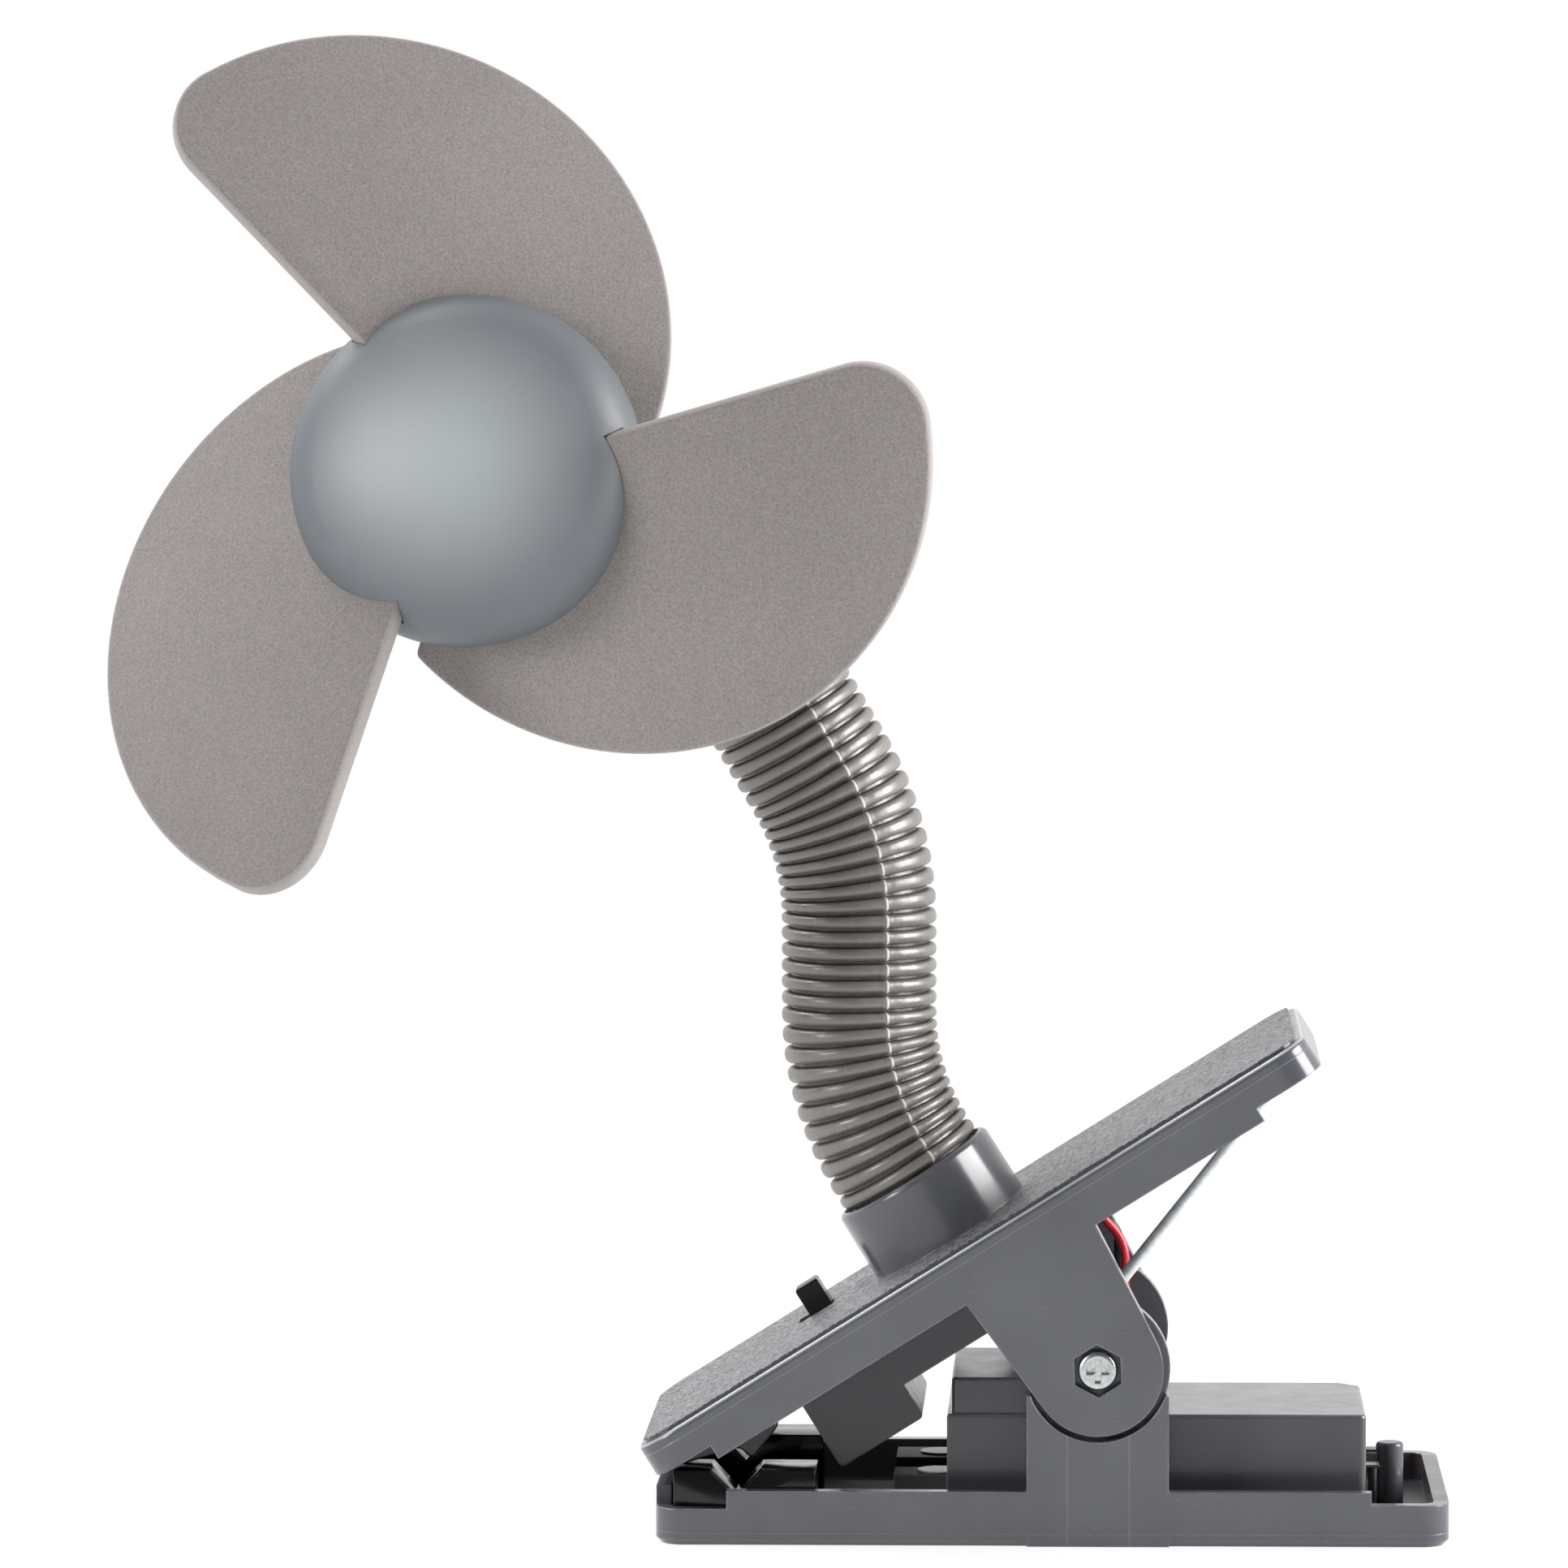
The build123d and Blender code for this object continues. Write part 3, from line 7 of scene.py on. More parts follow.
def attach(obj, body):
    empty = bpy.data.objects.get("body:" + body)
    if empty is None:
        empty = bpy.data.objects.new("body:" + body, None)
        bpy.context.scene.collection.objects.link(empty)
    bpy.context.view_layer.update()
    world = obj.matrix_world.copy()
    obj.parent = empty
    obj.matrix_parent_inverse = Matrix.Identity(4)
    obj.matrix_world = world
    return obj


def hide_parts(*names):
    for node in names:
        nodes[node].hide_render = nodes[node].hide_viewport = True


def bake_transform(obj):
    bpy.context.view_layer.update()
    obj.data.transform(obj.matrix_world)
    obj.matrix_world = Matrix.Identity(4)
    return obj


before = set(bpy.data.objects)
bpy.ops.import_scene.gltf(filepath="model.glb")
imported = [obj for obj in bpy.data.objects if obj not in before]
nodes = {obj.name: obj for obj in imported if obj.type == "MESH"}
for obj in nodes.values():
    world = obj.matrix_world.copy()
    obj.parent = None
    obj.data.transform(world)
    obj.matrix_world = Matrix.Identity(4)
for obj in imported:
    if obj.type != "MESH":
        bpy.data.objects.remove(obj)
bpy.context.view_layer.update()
mm = 0.001

# places that several pieces share, in millimetres
hingeSpot = Vector((6.6, 0.0, 25.35))
jawTilt = radians(32.0)
fanCentre = Vector((-80.2, -65.0, 155.65))
fanTurn = radians(6.7)
fanRise = radians(12.0)
fanAxis = Vector((-sin(fanTurn) * cos(fanRise), -cos(fanTurn) * cos(fanRise), sin(fanRise)))


# a point given along the upper jaw and square to it, from the hinge
def jawSpot(place, height, y=0.0):
    x = hingeSpot.x + place * cos(jawTilt) - height * sin(jawTilt)
    return Vector((x, y, hingeSpot.z + place * sin(jawTilt) + height * cos(jawTilt)))


# turns a piece modelled flat, x along the jaw and z square to it, into its place
def jawFrame(place, height, y=0.0):
    spot = jawSpot(place, height, y) * mm
    along = Vector((cos(jawTilt), 0.0, sin(jawTilt)))
    square = Vector((-sin(jawTilt), 0.0, cos(jawTilt)))
    turned = Matrix((along, square.cross(along), square)).transposed()
    return Matrix.Translation(spot) @ turned.to_4x4()


# working with pieces
def letGo():
    if bpy.context.object and bpy.context.object.mode != "OBJECT":
        bpy.ops.object.mode_set(mode="OBJECT")
    bpy.ops.object.select_all(action="DESELECT")


def hold(piece):
    letGo()
    piece.select_set(True)
    bpy.context.view_layer.objects.active = piece


def newPiece(name):
    piece = bpy.context.object
    piece.name = name
    piece.data.name = name
    return piece


def settle(piece, matrix=None):
    if matrix is not None:
        piece.matrix_world = matrix
    hold(piece)
    bpy.ops.object.transform_apply(location=True, rotation=True, scale=True)


def applyModifier(piece, kind, **settings):
    hold(piece)
    modifier = piece.modifiers.new("work", kind)
    for key, value in settings.items():
        setattr(modifier, key, value)
    bpy.ops.object.modifier_apply(modifier=modifier.name)


# selects points by a test in object mode, and opens the piece for editing
def pick(piece, test, mode="VERT"):
    hold(piece)
    mesh = piece.data
    for group in (mesh.vertices, mesh.edges, mesh.polygons):
        group.foreach_set("select", [False] * len(group))
    group = mesh.vertices if mode == "VERT" else mesh.polygons
    for part in group:
        part.select = test(part)
    bpy.ops.object.mode_set(mode="EDIT")
    bpy.ops.mesh.select_mode(type=mode)


def doneEditing():
    bpy.ops.object.mode_set(mode="OBJECT")


def smooth(piece, angle=40.0):
    hold(piece)
    bpy.ops.object.shade_smooth_by_angle(angle=radians(angle))


def dress(piece, *materials):
    piece.data.materials.clear()
    for material in materials:
        piece.data.materials.append(material)


# a merged copy of a frame node's own mesh, with whole faces instead of triangles
def mergedCopy(nodeName, pieceName, flatness=0.6):
    letGo()
    mesh = nodes[nodeName].data.copy()
    mesh.materials.clear()
    piece = bpy.data.objects.new(pieceName, mesh)
    bpy.context.scene.collection.objects.link(piece)
    if mesh.has_custom_normals:
        hold(piece)
        bpy.ops.mesh.customdata_custom_splitnormals_clear()
    pick(piece, lambda vertex: True)
    bpy.ops.mesh.remove_doubles(threshold=0.002 * mm)
    bpy.ops.mesh.dissolve_limited(angle_limit=radians(flatness))
    doneEditing()
    return piece


print("frame loaded:", len(nodes), "nodes")


# materials
# screen colour, 0 to 255, as the shader wants it
def paint(red, green, blue):
    def straight(value):
        share = value / 255.0
        return share / 12.92 if share <= 0.04045 else ((share + 0.055) / 1.055) ** 2.4
    return (straight(red), straight(green), straight(blue), 1.0)


def addNode(tree, kind, inputs=None, **settings):
    node = tree.nodes.new(kind)
    for key, value in settings.items():
        setattr(node, key, value)
    for key, value in (inputs or {}).items():
        if isinstance(value, bpy.types.NodeSocket):
            tree.links.new(value, node.inputs[key])
        else:
            node.inputs[key].default_value = value
    return node


def calc(tree, operation, *values):
    node = addNode(tree, "ShaderNodeMath", dict(enumerate(values)), operation=operation)
    return node.outputs[0]


def remap(tree, value, low, high, newLow=0.0, newHigh=1.0, soft=False):
    inputs = {"Value": value, "From Min": low, "From Max": high}
    inputs.update({"To Min": newLow, "To Max": newHigh})
    kind = "SMOOTHSTEP" if soft else "LINEAR"
    return addNode(tree, "ShaderNodeMapRange", inputs, interpolation_type=kind).outputs[0]


def mixColours(tree, share, first, second, mode="MIX"):
    inputs = {0: share, 6: first, 7: second}
    node = addNode(tree, "ShaderNodeMix", inputs, data_type="RGBA", blend_type=mode)
    return node.outputs[2]


def noise(tree, vector, scale, detail=2.0, roughness=0.5, **more):
    inputs = {"Vector": vector, "Scale": scale, "Detail": detail, "Roughness": roughness}
    inputs.update(more)
    return addNode(tree, "ShaderNodeTexNoise", inputs).outputs[0]


# a named group with its sockets, ready for nodes
def newGroup(name, inputs, outputs):
    tree = bpy.data.node_groups.new(name, "ShaderNodeTree")
    for label, kind, value in inputs:
        socket = tree.interface.new_socket(label, in_out="INPUT", socket_type=kind)
        if value is not None:
            socket.default_value = value
    for label, kind in outputs:
        tree.interface.new_socket(label, in_out="OUTPUT", socket_type=kind)
    return tree, tree.nodes.new("NodeGroupInput"), tree.nodes.new("NodeGroupOutput")


def useGroup(tree, group, inputs):
    node = tree.nodes.new("ShaderNodeGroup")
    node.node_tree = group
    for key, value in inputs.items():
        if isinstance(value, bpy.types.NodeSocket):
            tree.links.new(value, node.inputs[key])
        else:
            node.inputs[key].default_value = value
    return node


vectorIn = ("Vector", "NodeSocketVector", None)
floatSocket = "NodeSocketFloat"


# rounds the normals at edges and marks them for a paler tone, part wear and part painted highlight
def makeEdgeWearAndHighlight():
    tree, start, end = newGroup(
        "edgeWearAndHighlight",
        [vectorIn, ("Radius", floatSocket, 0.3 * mm), ("Patchiness", floatSocket, 0.6)],
        [("Mask", floatSocket), ("Normal", "NodeSocketVector")],
    )
    bevel = addNode(tree, "ShaderNodeBevel", {"Radius": start.outputs["Radius"]}, samples=6)
    plain = addNode(tree, "ShaderNodeNewGeometry")
    turned = addNode(
        tree,
        "ShaderNodeVectorMath",
        {0: bevel.outputs[0], 1: plain.outputs["Normal"]},
        operation="DOT_PRODUCT",
    )
    edge = remap(tree, turned.outputs["Value"], 0.985, 0.86)
    patches = noise(tree, start.outputs["Vector"], 420.0, 3.0, 0.6)
    patches = remap(tree, patches, 0.35, 0.65, soft=True)
    patches = calc(tree, "SUBTRACT", 1.0, calc(tree, "MULTIPLY", patches, start.outputs["Patchiness"]))
    tree.links.new(calc(tree, "MULTIPLY", edge, patches), end.inputs["Mask"])
    tree.links.new(bevel.outputs[0], end.inputs["Normal"])
    return tree


# the faint unevenness of a moulded face, with handling marks
def makeMouldSkin():
    tree, start, end = newGroup(
        "mouldSkin",
        [vectorIn, ("Peel", floatSocket, 700.0)],
        [("Height", floatSocket), ("Tone", floatSocket), ("Rough", floatSocket)],
    )
    place = start.outputs["Vector"]
    peel = noise(tree, place, start.outputs["Peel"], 2.0, 0.5)
    clouds = noise(tree, place, 55.0, 3.0, 0.55)
    rub = noise(tree, place, 190.0, 4.0, 0.65)
    stretched = addNode(tree, "ShaderNodeVectorMath", {0: place, 1: (260.0, 1900.0, 2600.0)},
                        operation="MULTIPLY")
    marks = noise(tree, stretched.outputs[0], 1.0, 1.0, 0.5)
    marks = remap(tree, marks, 0.73, 0.80)
    tree.links.new(calc(tree, "SUBTRACT", peel, calc(tree, "MULTIPLY", marks, 0.25)), end.inputs["Height"])
    tree.links.new(clouds, end.inputs["Tone"])
    tree.links.new(calc(tree, "ADD", calc(tree, "MULTIPLY", rub, 0.8), calc(tree, "MULTIPLY", marks, 0.2)),
                   end.inputs["Rough"])
    return tree


# spark-eroded grain of the deck
def makeDeckGrain():
    tree, start, end = newGroup(
        "deckGrain",
        [vectorIn, ("Size", floatSocket, 2200.0)],
        [("Height", floatSocket), ("Fleck", floatSocket)],
    )
    place = start.outputs["Vector"]
    size = start.outputs["Size"]
    fine = noise(tree, place, size, 2.5, 0.62)
    coarse = noise(tree, place, calc(tree, "MULTIPLY", size, 0.45), 1.0, 0.5)
    pebble = addNode(tree, "ShaderNodeTexVoronoi", {"Vector": place, "Scale": size},
                     feature="SMOOTH_F1").outputs["Distance"]
    height = calc(tree, "ADD", calc(tree, "MULTIPLY", fine, 0.75), calc(tree, "MULTIPLY", coarse, 0.35))
    height = calc(tree, "SUBTRACT", height, calc(tree, "MULTIPLY", pebble, 0.3))
    tree.links.new(height, end.inputs["Height"])
    tone = calc(tree, "ADD", calc(tree, "MULTIPLY", fine, 0.7), calc(tree, "MULTIPLY", coarse, 0.3))
    tree.links.new(remap(tree, tone, 0.455, 0.545), end.inputs["Fleck"])
    return tree


# closed-cell foam: fine specks, small pores and a slow drift of tone
def makeFoamGrain():
    tree, start, end = newGroup(
        "foamGrain",
        [vectorIn, ("Size", floatSocket, 3000.0)],
        [("Height", floatSocket), ("Speck", floatSocket), ("Drift", floatSocket), ("Pore", floatSocket)],
    )
    place = start.outputs["Vector"]
    size = start.outputs["Size"]
    speck = noise(tree, place, size, 2.0, 0.6)
    lump = noise(tree, place, calc(tree, "MULTIPLY", size, 0.3), 2.0, 0.5)
    drift = noise(tree, place, 28.0, 3.0, 0.5)
    pores = addNode(tree, "ShaderNodeTexVoronoi",
                    {"Vector": place, "Scale": calc(tree, "MULTIPLY", size, 0.62)}).outputs["Distance"]
    pores = remap(tree, pores, 0.10, 0.30, 1.0, 0.0, soft=True)
    height = calc(tree, "ADD", calc(tree, "MULTIPLY", speck, 0.7), calc(tree, "MULTIPLY", lump, 0.5))
    height = calc(tree, "SUBTRACT", height, calc(tree, "MULTIPLY", pores, 0.4))
    tree.links.new(height, end.inputs["Height"])
    tree.links.new(remap(tree, speck, 0.3, 0.7), end.inputs["Speck"])
    tree.links.new(drift, end.inputs["Drift"])
    tree.links.new(pores, end.inputs["Pore"])
    return tree


# drawn or turned metal: long fine lines and a few spots
def makeDrawnLines():
    tree, start, end = newGroup(
        "drawnLines",
        [vectorIn, ("Along", "NodeSocketVector", (400.0, 4000.0, 4000.0))],
        [("Height", floatSocket), ("Tone", floatSocket)],
    )
    place = start.outputs["Vector"]
    drawn = addNode(tree, "ShaderNodeVectorMath", {0: place, 1: start.outputs["Along"]},
                    operation="MULTIPLY")
    lines = noise(tree, drawn.outputs[0], 1.0, 2.0, 0.6)
    spots = noise(tree, place, 900.0, 2.0, 0.5)
    tree.links.new(lines, end.inputs["Height"])
    both = calc(tree, "ADD", calc(tree, "MULTIPLY", lines, 0.5), calc(tree, "MULTIPLY", spots, 0.5))
    tree.links.new(both, end.inputs["Tone"])
    return tree


edgeWearAndHighlight = makeEdgeWearAndHighlight()
mouldSkin = makeMouldSkin()
deckGrain = makeDeckGrain()
foamGrain = makeFoamGrain()
drawnLines = makeDrawnLines()


def newMaterial(name, roughness, metallic=0.0, specular=0.5, coat=0.0, coatRoughness=0.1):
    material = bpy.data.materials.new(name)
    material.use_nodes = True
    tree = material.node_tree
    shader = tree.nodes["Principled BSDF"]
    shader.inputs["Metallic"].default_value = metallic
    shader.inputs["Roughness"].default_value = roughness
    shader.inputs["Specular IOR Level"].default_value = specular
    shader.inputs["Coat Weight"].default_value = coat
    shader.inputs["Coat Roughness"].default_value = coatRoughness
    place = addNode(tree, "ShaderNodeTexCoord").outputs["Object"]
    return material, tree, shader, place


def bump(tree, height, depth, normal=None):
    inputs = {"Height": height, "Distance": depth, "Strength": 1.0}
    if normal is not None:
        inputs["Normal"] = normal
    return addNode(tree, "ShaderNodeBump", inputs).outputs[0]


# how near a value is to a line, 1 on it
def nearLine(tree, value, line, width):
    away = calc(tree, "ABSOLUTE", calc(tree, "SUBTRACT", value, line * mm))
    return remap(tree, away, 0.0, width * mm, 1.0, 0.0, soft=True)


clipLook = {
    "colour": paint(72, 73, 79),
    "lightColour": paint(82, 83, 88),
    # paler edge tone: part wear, part painted highlight
    "wornAndHighlightColour": paint(150, 153, 158),
    # deck fleck colours: the grain's tone, with painted light and shade of its bumps
    "deckShadedFleck": paint(40, 41, 44),
    "deckLitFleck": paint(130, 131, 134),
    "beadHighlightColour": paint(160, 163, 169),
    "grooveShadeColour": paint(58, 59, 63),
    # painted shade inside the tray; also the tone of the moulding rings
    "insideShadeAndRingColour": paint(48, 47, 52),
    "pinColour": paint(178, 180, 182),
    "roughness": 0.24,
    "deckRoughness": 0.46,
    "peelDepth": 0.004 * mm,
    "grainDepth": 0.20 * mm,
    "boxTop": 17.3,  # painted shade darkens the inside of the tray up to here
    "partingLow": 1.8,  # height of the lower jaw's mould line
    "partingHigh": 23.4,  # of the upper jaw's, square to the deck
    "beadHighlightLine": 24.84,  # painted highlight line along the deck's rounded edge
    "beadHighlightWidth": 0.26,
    # a band of painted shade between the grain and the rounded edge
    "grooveShadeFrom": 25.04,
    "grooveShadeTo": 25.46,
    "deckFrom": 25.45,  # the grained top lies between these, square to the deck
    "deckTo": 25.66,
    "wallFrom": 25.3,  # the column seams run on the outer walls, up to wallTop
    "wallTop": 21.0,
    "columnSeams": (2.2, 11.1),
    "ringMiddles": ((40.4, -5.5), (40.4, 12.5)),  # moulding rings on the battery box
    "ringRadius": 3.0,
    "insideHalf": 21.0,
    "insideFrom": 1.5,
    "blockTop": 9.5,  # the two low blocks in front of the box, and the tops of their pins
    "blockEnd": -15.3,
    "pinFrom": 8.6,
}


# moulded grey plastic; part is "lower", "upper" or "plain"
def makeClipPlastic(name, part, colour=None, light=None, roughness=None, coat=0.35):
    material, tree, shader, place = newMaterial(name, clipLook["roughness"], coat=coat, coatRoughness=0.12)
    wear = useGroup(tree, edgeWearAndHighlight, {"Vector": place, "Radius": 0.45 * mm})
    skin = useGroup(tree, mouldSkin, {"Vector": place})
    skinTone = remap(tree, skin.outputs["Tone"], 0.3, 0.7)
    tint = mixColours(tree, skinTone, colour or clipLook["colour"], light or clipLook["lightColour"])
    # paler edges: part wear, part painted highlight
    edgeShare = calc(tree, "MULTIPLY", wear.outputs["Mask"], 0.55)
    tint = mixColours(tree, edgeShare, tint, clipLook["wornAndHighlightColour"])
    base = roughness or clipLook["roughness"]
    rough = remap(tree, skin.outputs["Rough"], 0.25, 0.75, base - 0.06, base + 0.10)
    normal = bump(tree, skin.outputs["Height"], clipLook["peelDepth"], wear.outputs["Normal"])
    axes = addNode(tree, "ShaderNodeSeparateXYZ", {0: place})
    x, y, z = axes.outputs[0], axes.outputs[1], axes.outputs[2]
    lines = None
    if part == "lower":
        lines = nearLine(tree, z, clipLook["partingLow"], 0.10)
        outside = calc(tree, "GREATER_THAN", calc(tree, "ABSOLUTE", y), clipLook["wallFrom"] * mm)
        low = calc(tree, "LESS_THAN", z, clipLook["wallTop"] * mm)
        walls = calc(tree, "MULTIPLY", outside, low)
        for column in clipLook["columnSeams"]:
            seam = calc(tree, "MULTIPLY", nearLine(tree, x, column, 0.09), walls)
            lines = calc(tree, "MAXIMUM", lines, seam)
        onTop = calc(tree, "GREATER_THAN", z, clipLook["boxTop"] * mm)
        rings = None
        for along, side in clipLook["ringMiddles"]:
            across = addNode(tree, "ShaderNodeCombineXYZ", {0: x, 1: y})
            away = addNode(tree, "ShaderNodeVectorMath",
                           {0: across.outputs[0], 1: (along * mm, side * mm, 0.0)},
                           operation="DISTANCE").outputs["Value"]
            ring = calc(tree, "MULTIPLY", nearLine(tree, away, clipLook["ringRadius"], 0.18), onTop)
            rings = ring if rings is None else calc(tree, "MAXIMUM", rings, ring)
    if part == "upper":
        fromHingeX = calc(tree, "SUBTRACT", x, hingeSpot.x * mm)
        fromHingeZ = calc(tree, "SUBTRACT", z, hingeSpot.z * mm)
        square = calc(tree, "ADD", calc(tree, "MULTIPLY", fromHingeX, -sin(jawTilt)),
                      calc(tree, "MULTIPLY", fromHingeZ, cos(jawTilt)))
        lines = nearLine(tree, square, clipLook["partingHigh"], 0.12)
        above = calc(tree, "GREATER_THAN", square, clipLook["deckFrom"] * mm)
        below = calc(tree, "LESS_THAN", square, clipLook["deckTo"] * mm)
        deck = calc(tree, "MULTIPLY", above, below)
        grain = useGroup(tree, deckGrain, {"Vector": place})
        # grain flecks, partly painted light and shade of the grain's bumps
        deckLitAndShadedGrain = mixColours(tree, grain.outputs["Fleck"], clipLook["deckShadedFleck"], clipLook["deckLitFleck"])
        tint = mixColours(tree, deck, tint, deckLitAndShadedGrain)
        rough = calc(tree, "ADD", rough,
                     calc(tree, "MULTIPLY", deck, clipLook["deckRoughness"] - base))
        # painted highlight along the deck's rounded edge
        beadHighlight = nearLine(tree, square, clipLook["beadHighlightLine"], clipLook["beadHighlightWidth"])
        tint = mixColours(tree, calc(tree, "MULTIPLY", beadHighlight, 0.8), tint, clipLook["beadHighlightColour"])
        # painted shade in the band between the grain and the rounded edge
        groove = calc(tree, "MULTIPLY", calc(tree, "GREATER_THAN", square, clipLook["grooveShadeFrom"] * mm),
                      calc(tree, "LESS_THAN", square, clipLook["grooveShadeTo"] * mm))
        tint = mixColours(tree, calc(tree, "MULTIPLY", groove, 0.8), tint, clipLook["grooveShadeColour"])
        deckHeight = calc(tree, "MULTIPLY", grain.outputs["Height"], deck)
        tree.links.new(remap(tree, deck, 0.0, 1.0, coat, 0.0), shader.inputs["Coat Weight"])
        normal = bump(tree, deckHeight, clipLook["grainDepth"], normal)
    # raised mould lines, tinted with the paler tone used for wear and painted edge highlight
    if lines is not None:
        normal = bump(tree, lines, 0.05 * mm, normal)
        tint = mixColours(tree, calc(tree, "MULTIPLY", lines, 0.35), tint, clipLook["wornAndHighlightColour"])
    if part == "lower":
        # the tray inside the rim is duller, its two low blocks most of all, and darker with painted shade
        between = calc(tree, "LESS_THAN", calc(tree, "ABSOLUTE", y), clipLook["insideHalf"] * mm)
        inside = calc(tree, "MULTIPLY", between,
                      calc(tree, "GREATER_THAN", z, clipLook["insideFrom"] * mm))
        inside = calc(tree, "MULTIPLY", inside, calc(tree, "LESS_THAN", z, clipLook["boxTop"] * mm))
        blocks = calc(tree, "MULTIPLY", inside, calc(tree, "LESS_THAN", z, clipLook["blockTop"] * mm))
        blocks = calc(tree, "MULTIPLY", blocks, calc(tree, "LESS_THAN", x, clipLook["blockEnd"] * mm))
        pinTops = calc(tree, "MULTIPLY", blocks, calc(tree, "GREATER_THAN", z, clipLook["pinFrom"] * mm))
        tint = mixColours(tree, calc(tree, "MULTIPLY", inside, 0.55), tint, clipLook["insideShadeAndRingColour"])
        tint = mixColours(tree, calc(tree, "MULTIPLY", pinTops, 0.8), tint, clipLook["pinColour"])
        # the moulding rings take that same dark tone
        tint = mixColours(tree, calc(tree, "MULTIPLY", rings, 0.7), tint, clipLook["insideShadeAndRingColour"])
        normal = bump(tree, rings, 0.08 * mm, normal)
        rough = calc(tree, "ADD", rough, calc(tree, "MULTIPLY", inside, 0.10))
        rough = calc(tree, "ADD", rough, calc(tree, "MULTIPLY", blocks, 0.26))
        rough = calc(tree, "SUBTRACT", rough, calc(tree, "MULTIPLY", pinTops, 0.30))
        tree.links.new(remap(tree, blocks, 0.0, 1.0, coat, 0.0), shader.inputs["Coat Weight"])
    tree.links.new(tint, shader.inputs["Base Color"])
    tree.links.new(rough, shader.inputs["Roughness"])
    tree.links.new(normal, shader.inputs["Normal"])
    return material


# plain plastics and rubber share one build with their own values
def makePlastic(name, colour, light, roughness, peel=700.0, depth=0.004, edge=0.25, wearAndHighlightTone=None,
                wearAndHighlightShare=0.4, specular=0.5):
    material, tree, shader, place = newMaterial(name, roughness, specular=specular)
    wear = useGroup(tree, edgeWearAndHighlight, {"Vector": place, "Radius": edge * mm})
    skin = useGroup(tree, mouldSkin, {"Vector": place, "Peel": peel})
    tint = mixColours(tree, remap(tree, skin.outputs["Tone"], 0.3, 0.7), colour, light)
    # paler edges: part wear, part painted highlight
    tint = mixColours(tree, calc(tree, "MULTIPLY", wear.outputs["Mask"], wearAndHighlightShare), tint, wearAndHighlightTone or light)
    rough = remap(tree, skin.outputs["Rough"], 0.25, 0.75, roughness - 0.06, roughness + 0.10)
    tree.links.new(tint, shader.inputs["Base Color"])
    tree.links.new(rough, shader.inputs["Roughness"])
    tree.links.new(bump(tree, skin.outputs["Height"], depth * mm, wear.outputs["Normal"]),
                   shader.inputs["Normal"])
    return material


# metals, with their drawing or turning lines
def makeMetal(name, colour, dull, roughness, along, depth=0.004, edge=0.2, metallic=1.0):
    material, tree, shader, place = newMaterial(name, roughness, metallic=metallic)
    wear = useGroup(tree, edgeWearAndHighlight, {"Vector": place, "Radius": edge * mm})
    lines = useGroup(tree, drawnLines, {"Vector": place, "Along": along})
    tone = remap(tree, lines.outputs["Tone"], 0.35, 0.65)
    tint = mixColours(tree, tone, dull, colour)
    rough = remap(tree, lines.outputs["Tone"], 0.3, 0.7, roughness + 0.08, roughness - 0.05)
    tree.links.new(tint, shader.inputs["Base Color"])
    tree.links.new(rough, shader.inputs["Roughness"])
    tree.links.new(bump(tree, lines.outputs["Height"], depth * mm, wear.outputs["Normal"]),
                   shader.inputs["Normal"])
    return material


foamLook = {
    "dark": paint(114, 109, 107),
    "light": paint(136, 131, 129),
    "pore": paint(98, 93, 91),
    "edge": paint(150, 145, 142),
    "grainDepth": 0.06 * mm,
}


def makeFoam(name, cutEdge=False):
    material, tree, shader, place = newMaterial(name, 0.88, specular=0.22)
    shader.inputs["Sheen Weight"].default_value = 0.12
    shader.inputs["Sheen Roughness"].default_value = 0.5
    grain = useGroup(tree, foamGrain, {"Vector": place})
    tint = mixColours(tree, grain.outputs["Speck"], foamLook["dark"], foamLook["light"])
    drift = remap(tree, grain.outputs["Drift"], 0.3, 0.7, 0.94, 1.06)
    tint = mixColours(tree, 1.0, tint, drift, "MULTIPLY")
    tint = mixColours(tree, calc(tree, "MULTIPLY", grain.outputs["Pore"], 0.35), tint, foamLook["pore"])
    if cutEdge:
        tint = mixColours(tree, 0.45, tint, foamLook["edge"])
    rough = remap(tree, grain.outputs["Speck"], 0.0, 1.0, 0.92, 0.78)
    tree.links.new(tint, shader.inputs["Base Color"])
    tree.links.new(rough, shader.inputs["Roughness"])
    tree.links.new(bump(tree, grain.outputs["Height"], foamLook["grainDepth"]), shader.inputs["Normal"])
    return material


domeLook = {
    "colour": paint(82, 86, 91),
    "light": paint(87, 91, 96),
    "middle": paint(156, 161, 164),  # painted highlight, paler towards its pole
    "poleHighlightReach": 25.0 * mm,
    "roughness": 0.50,
}


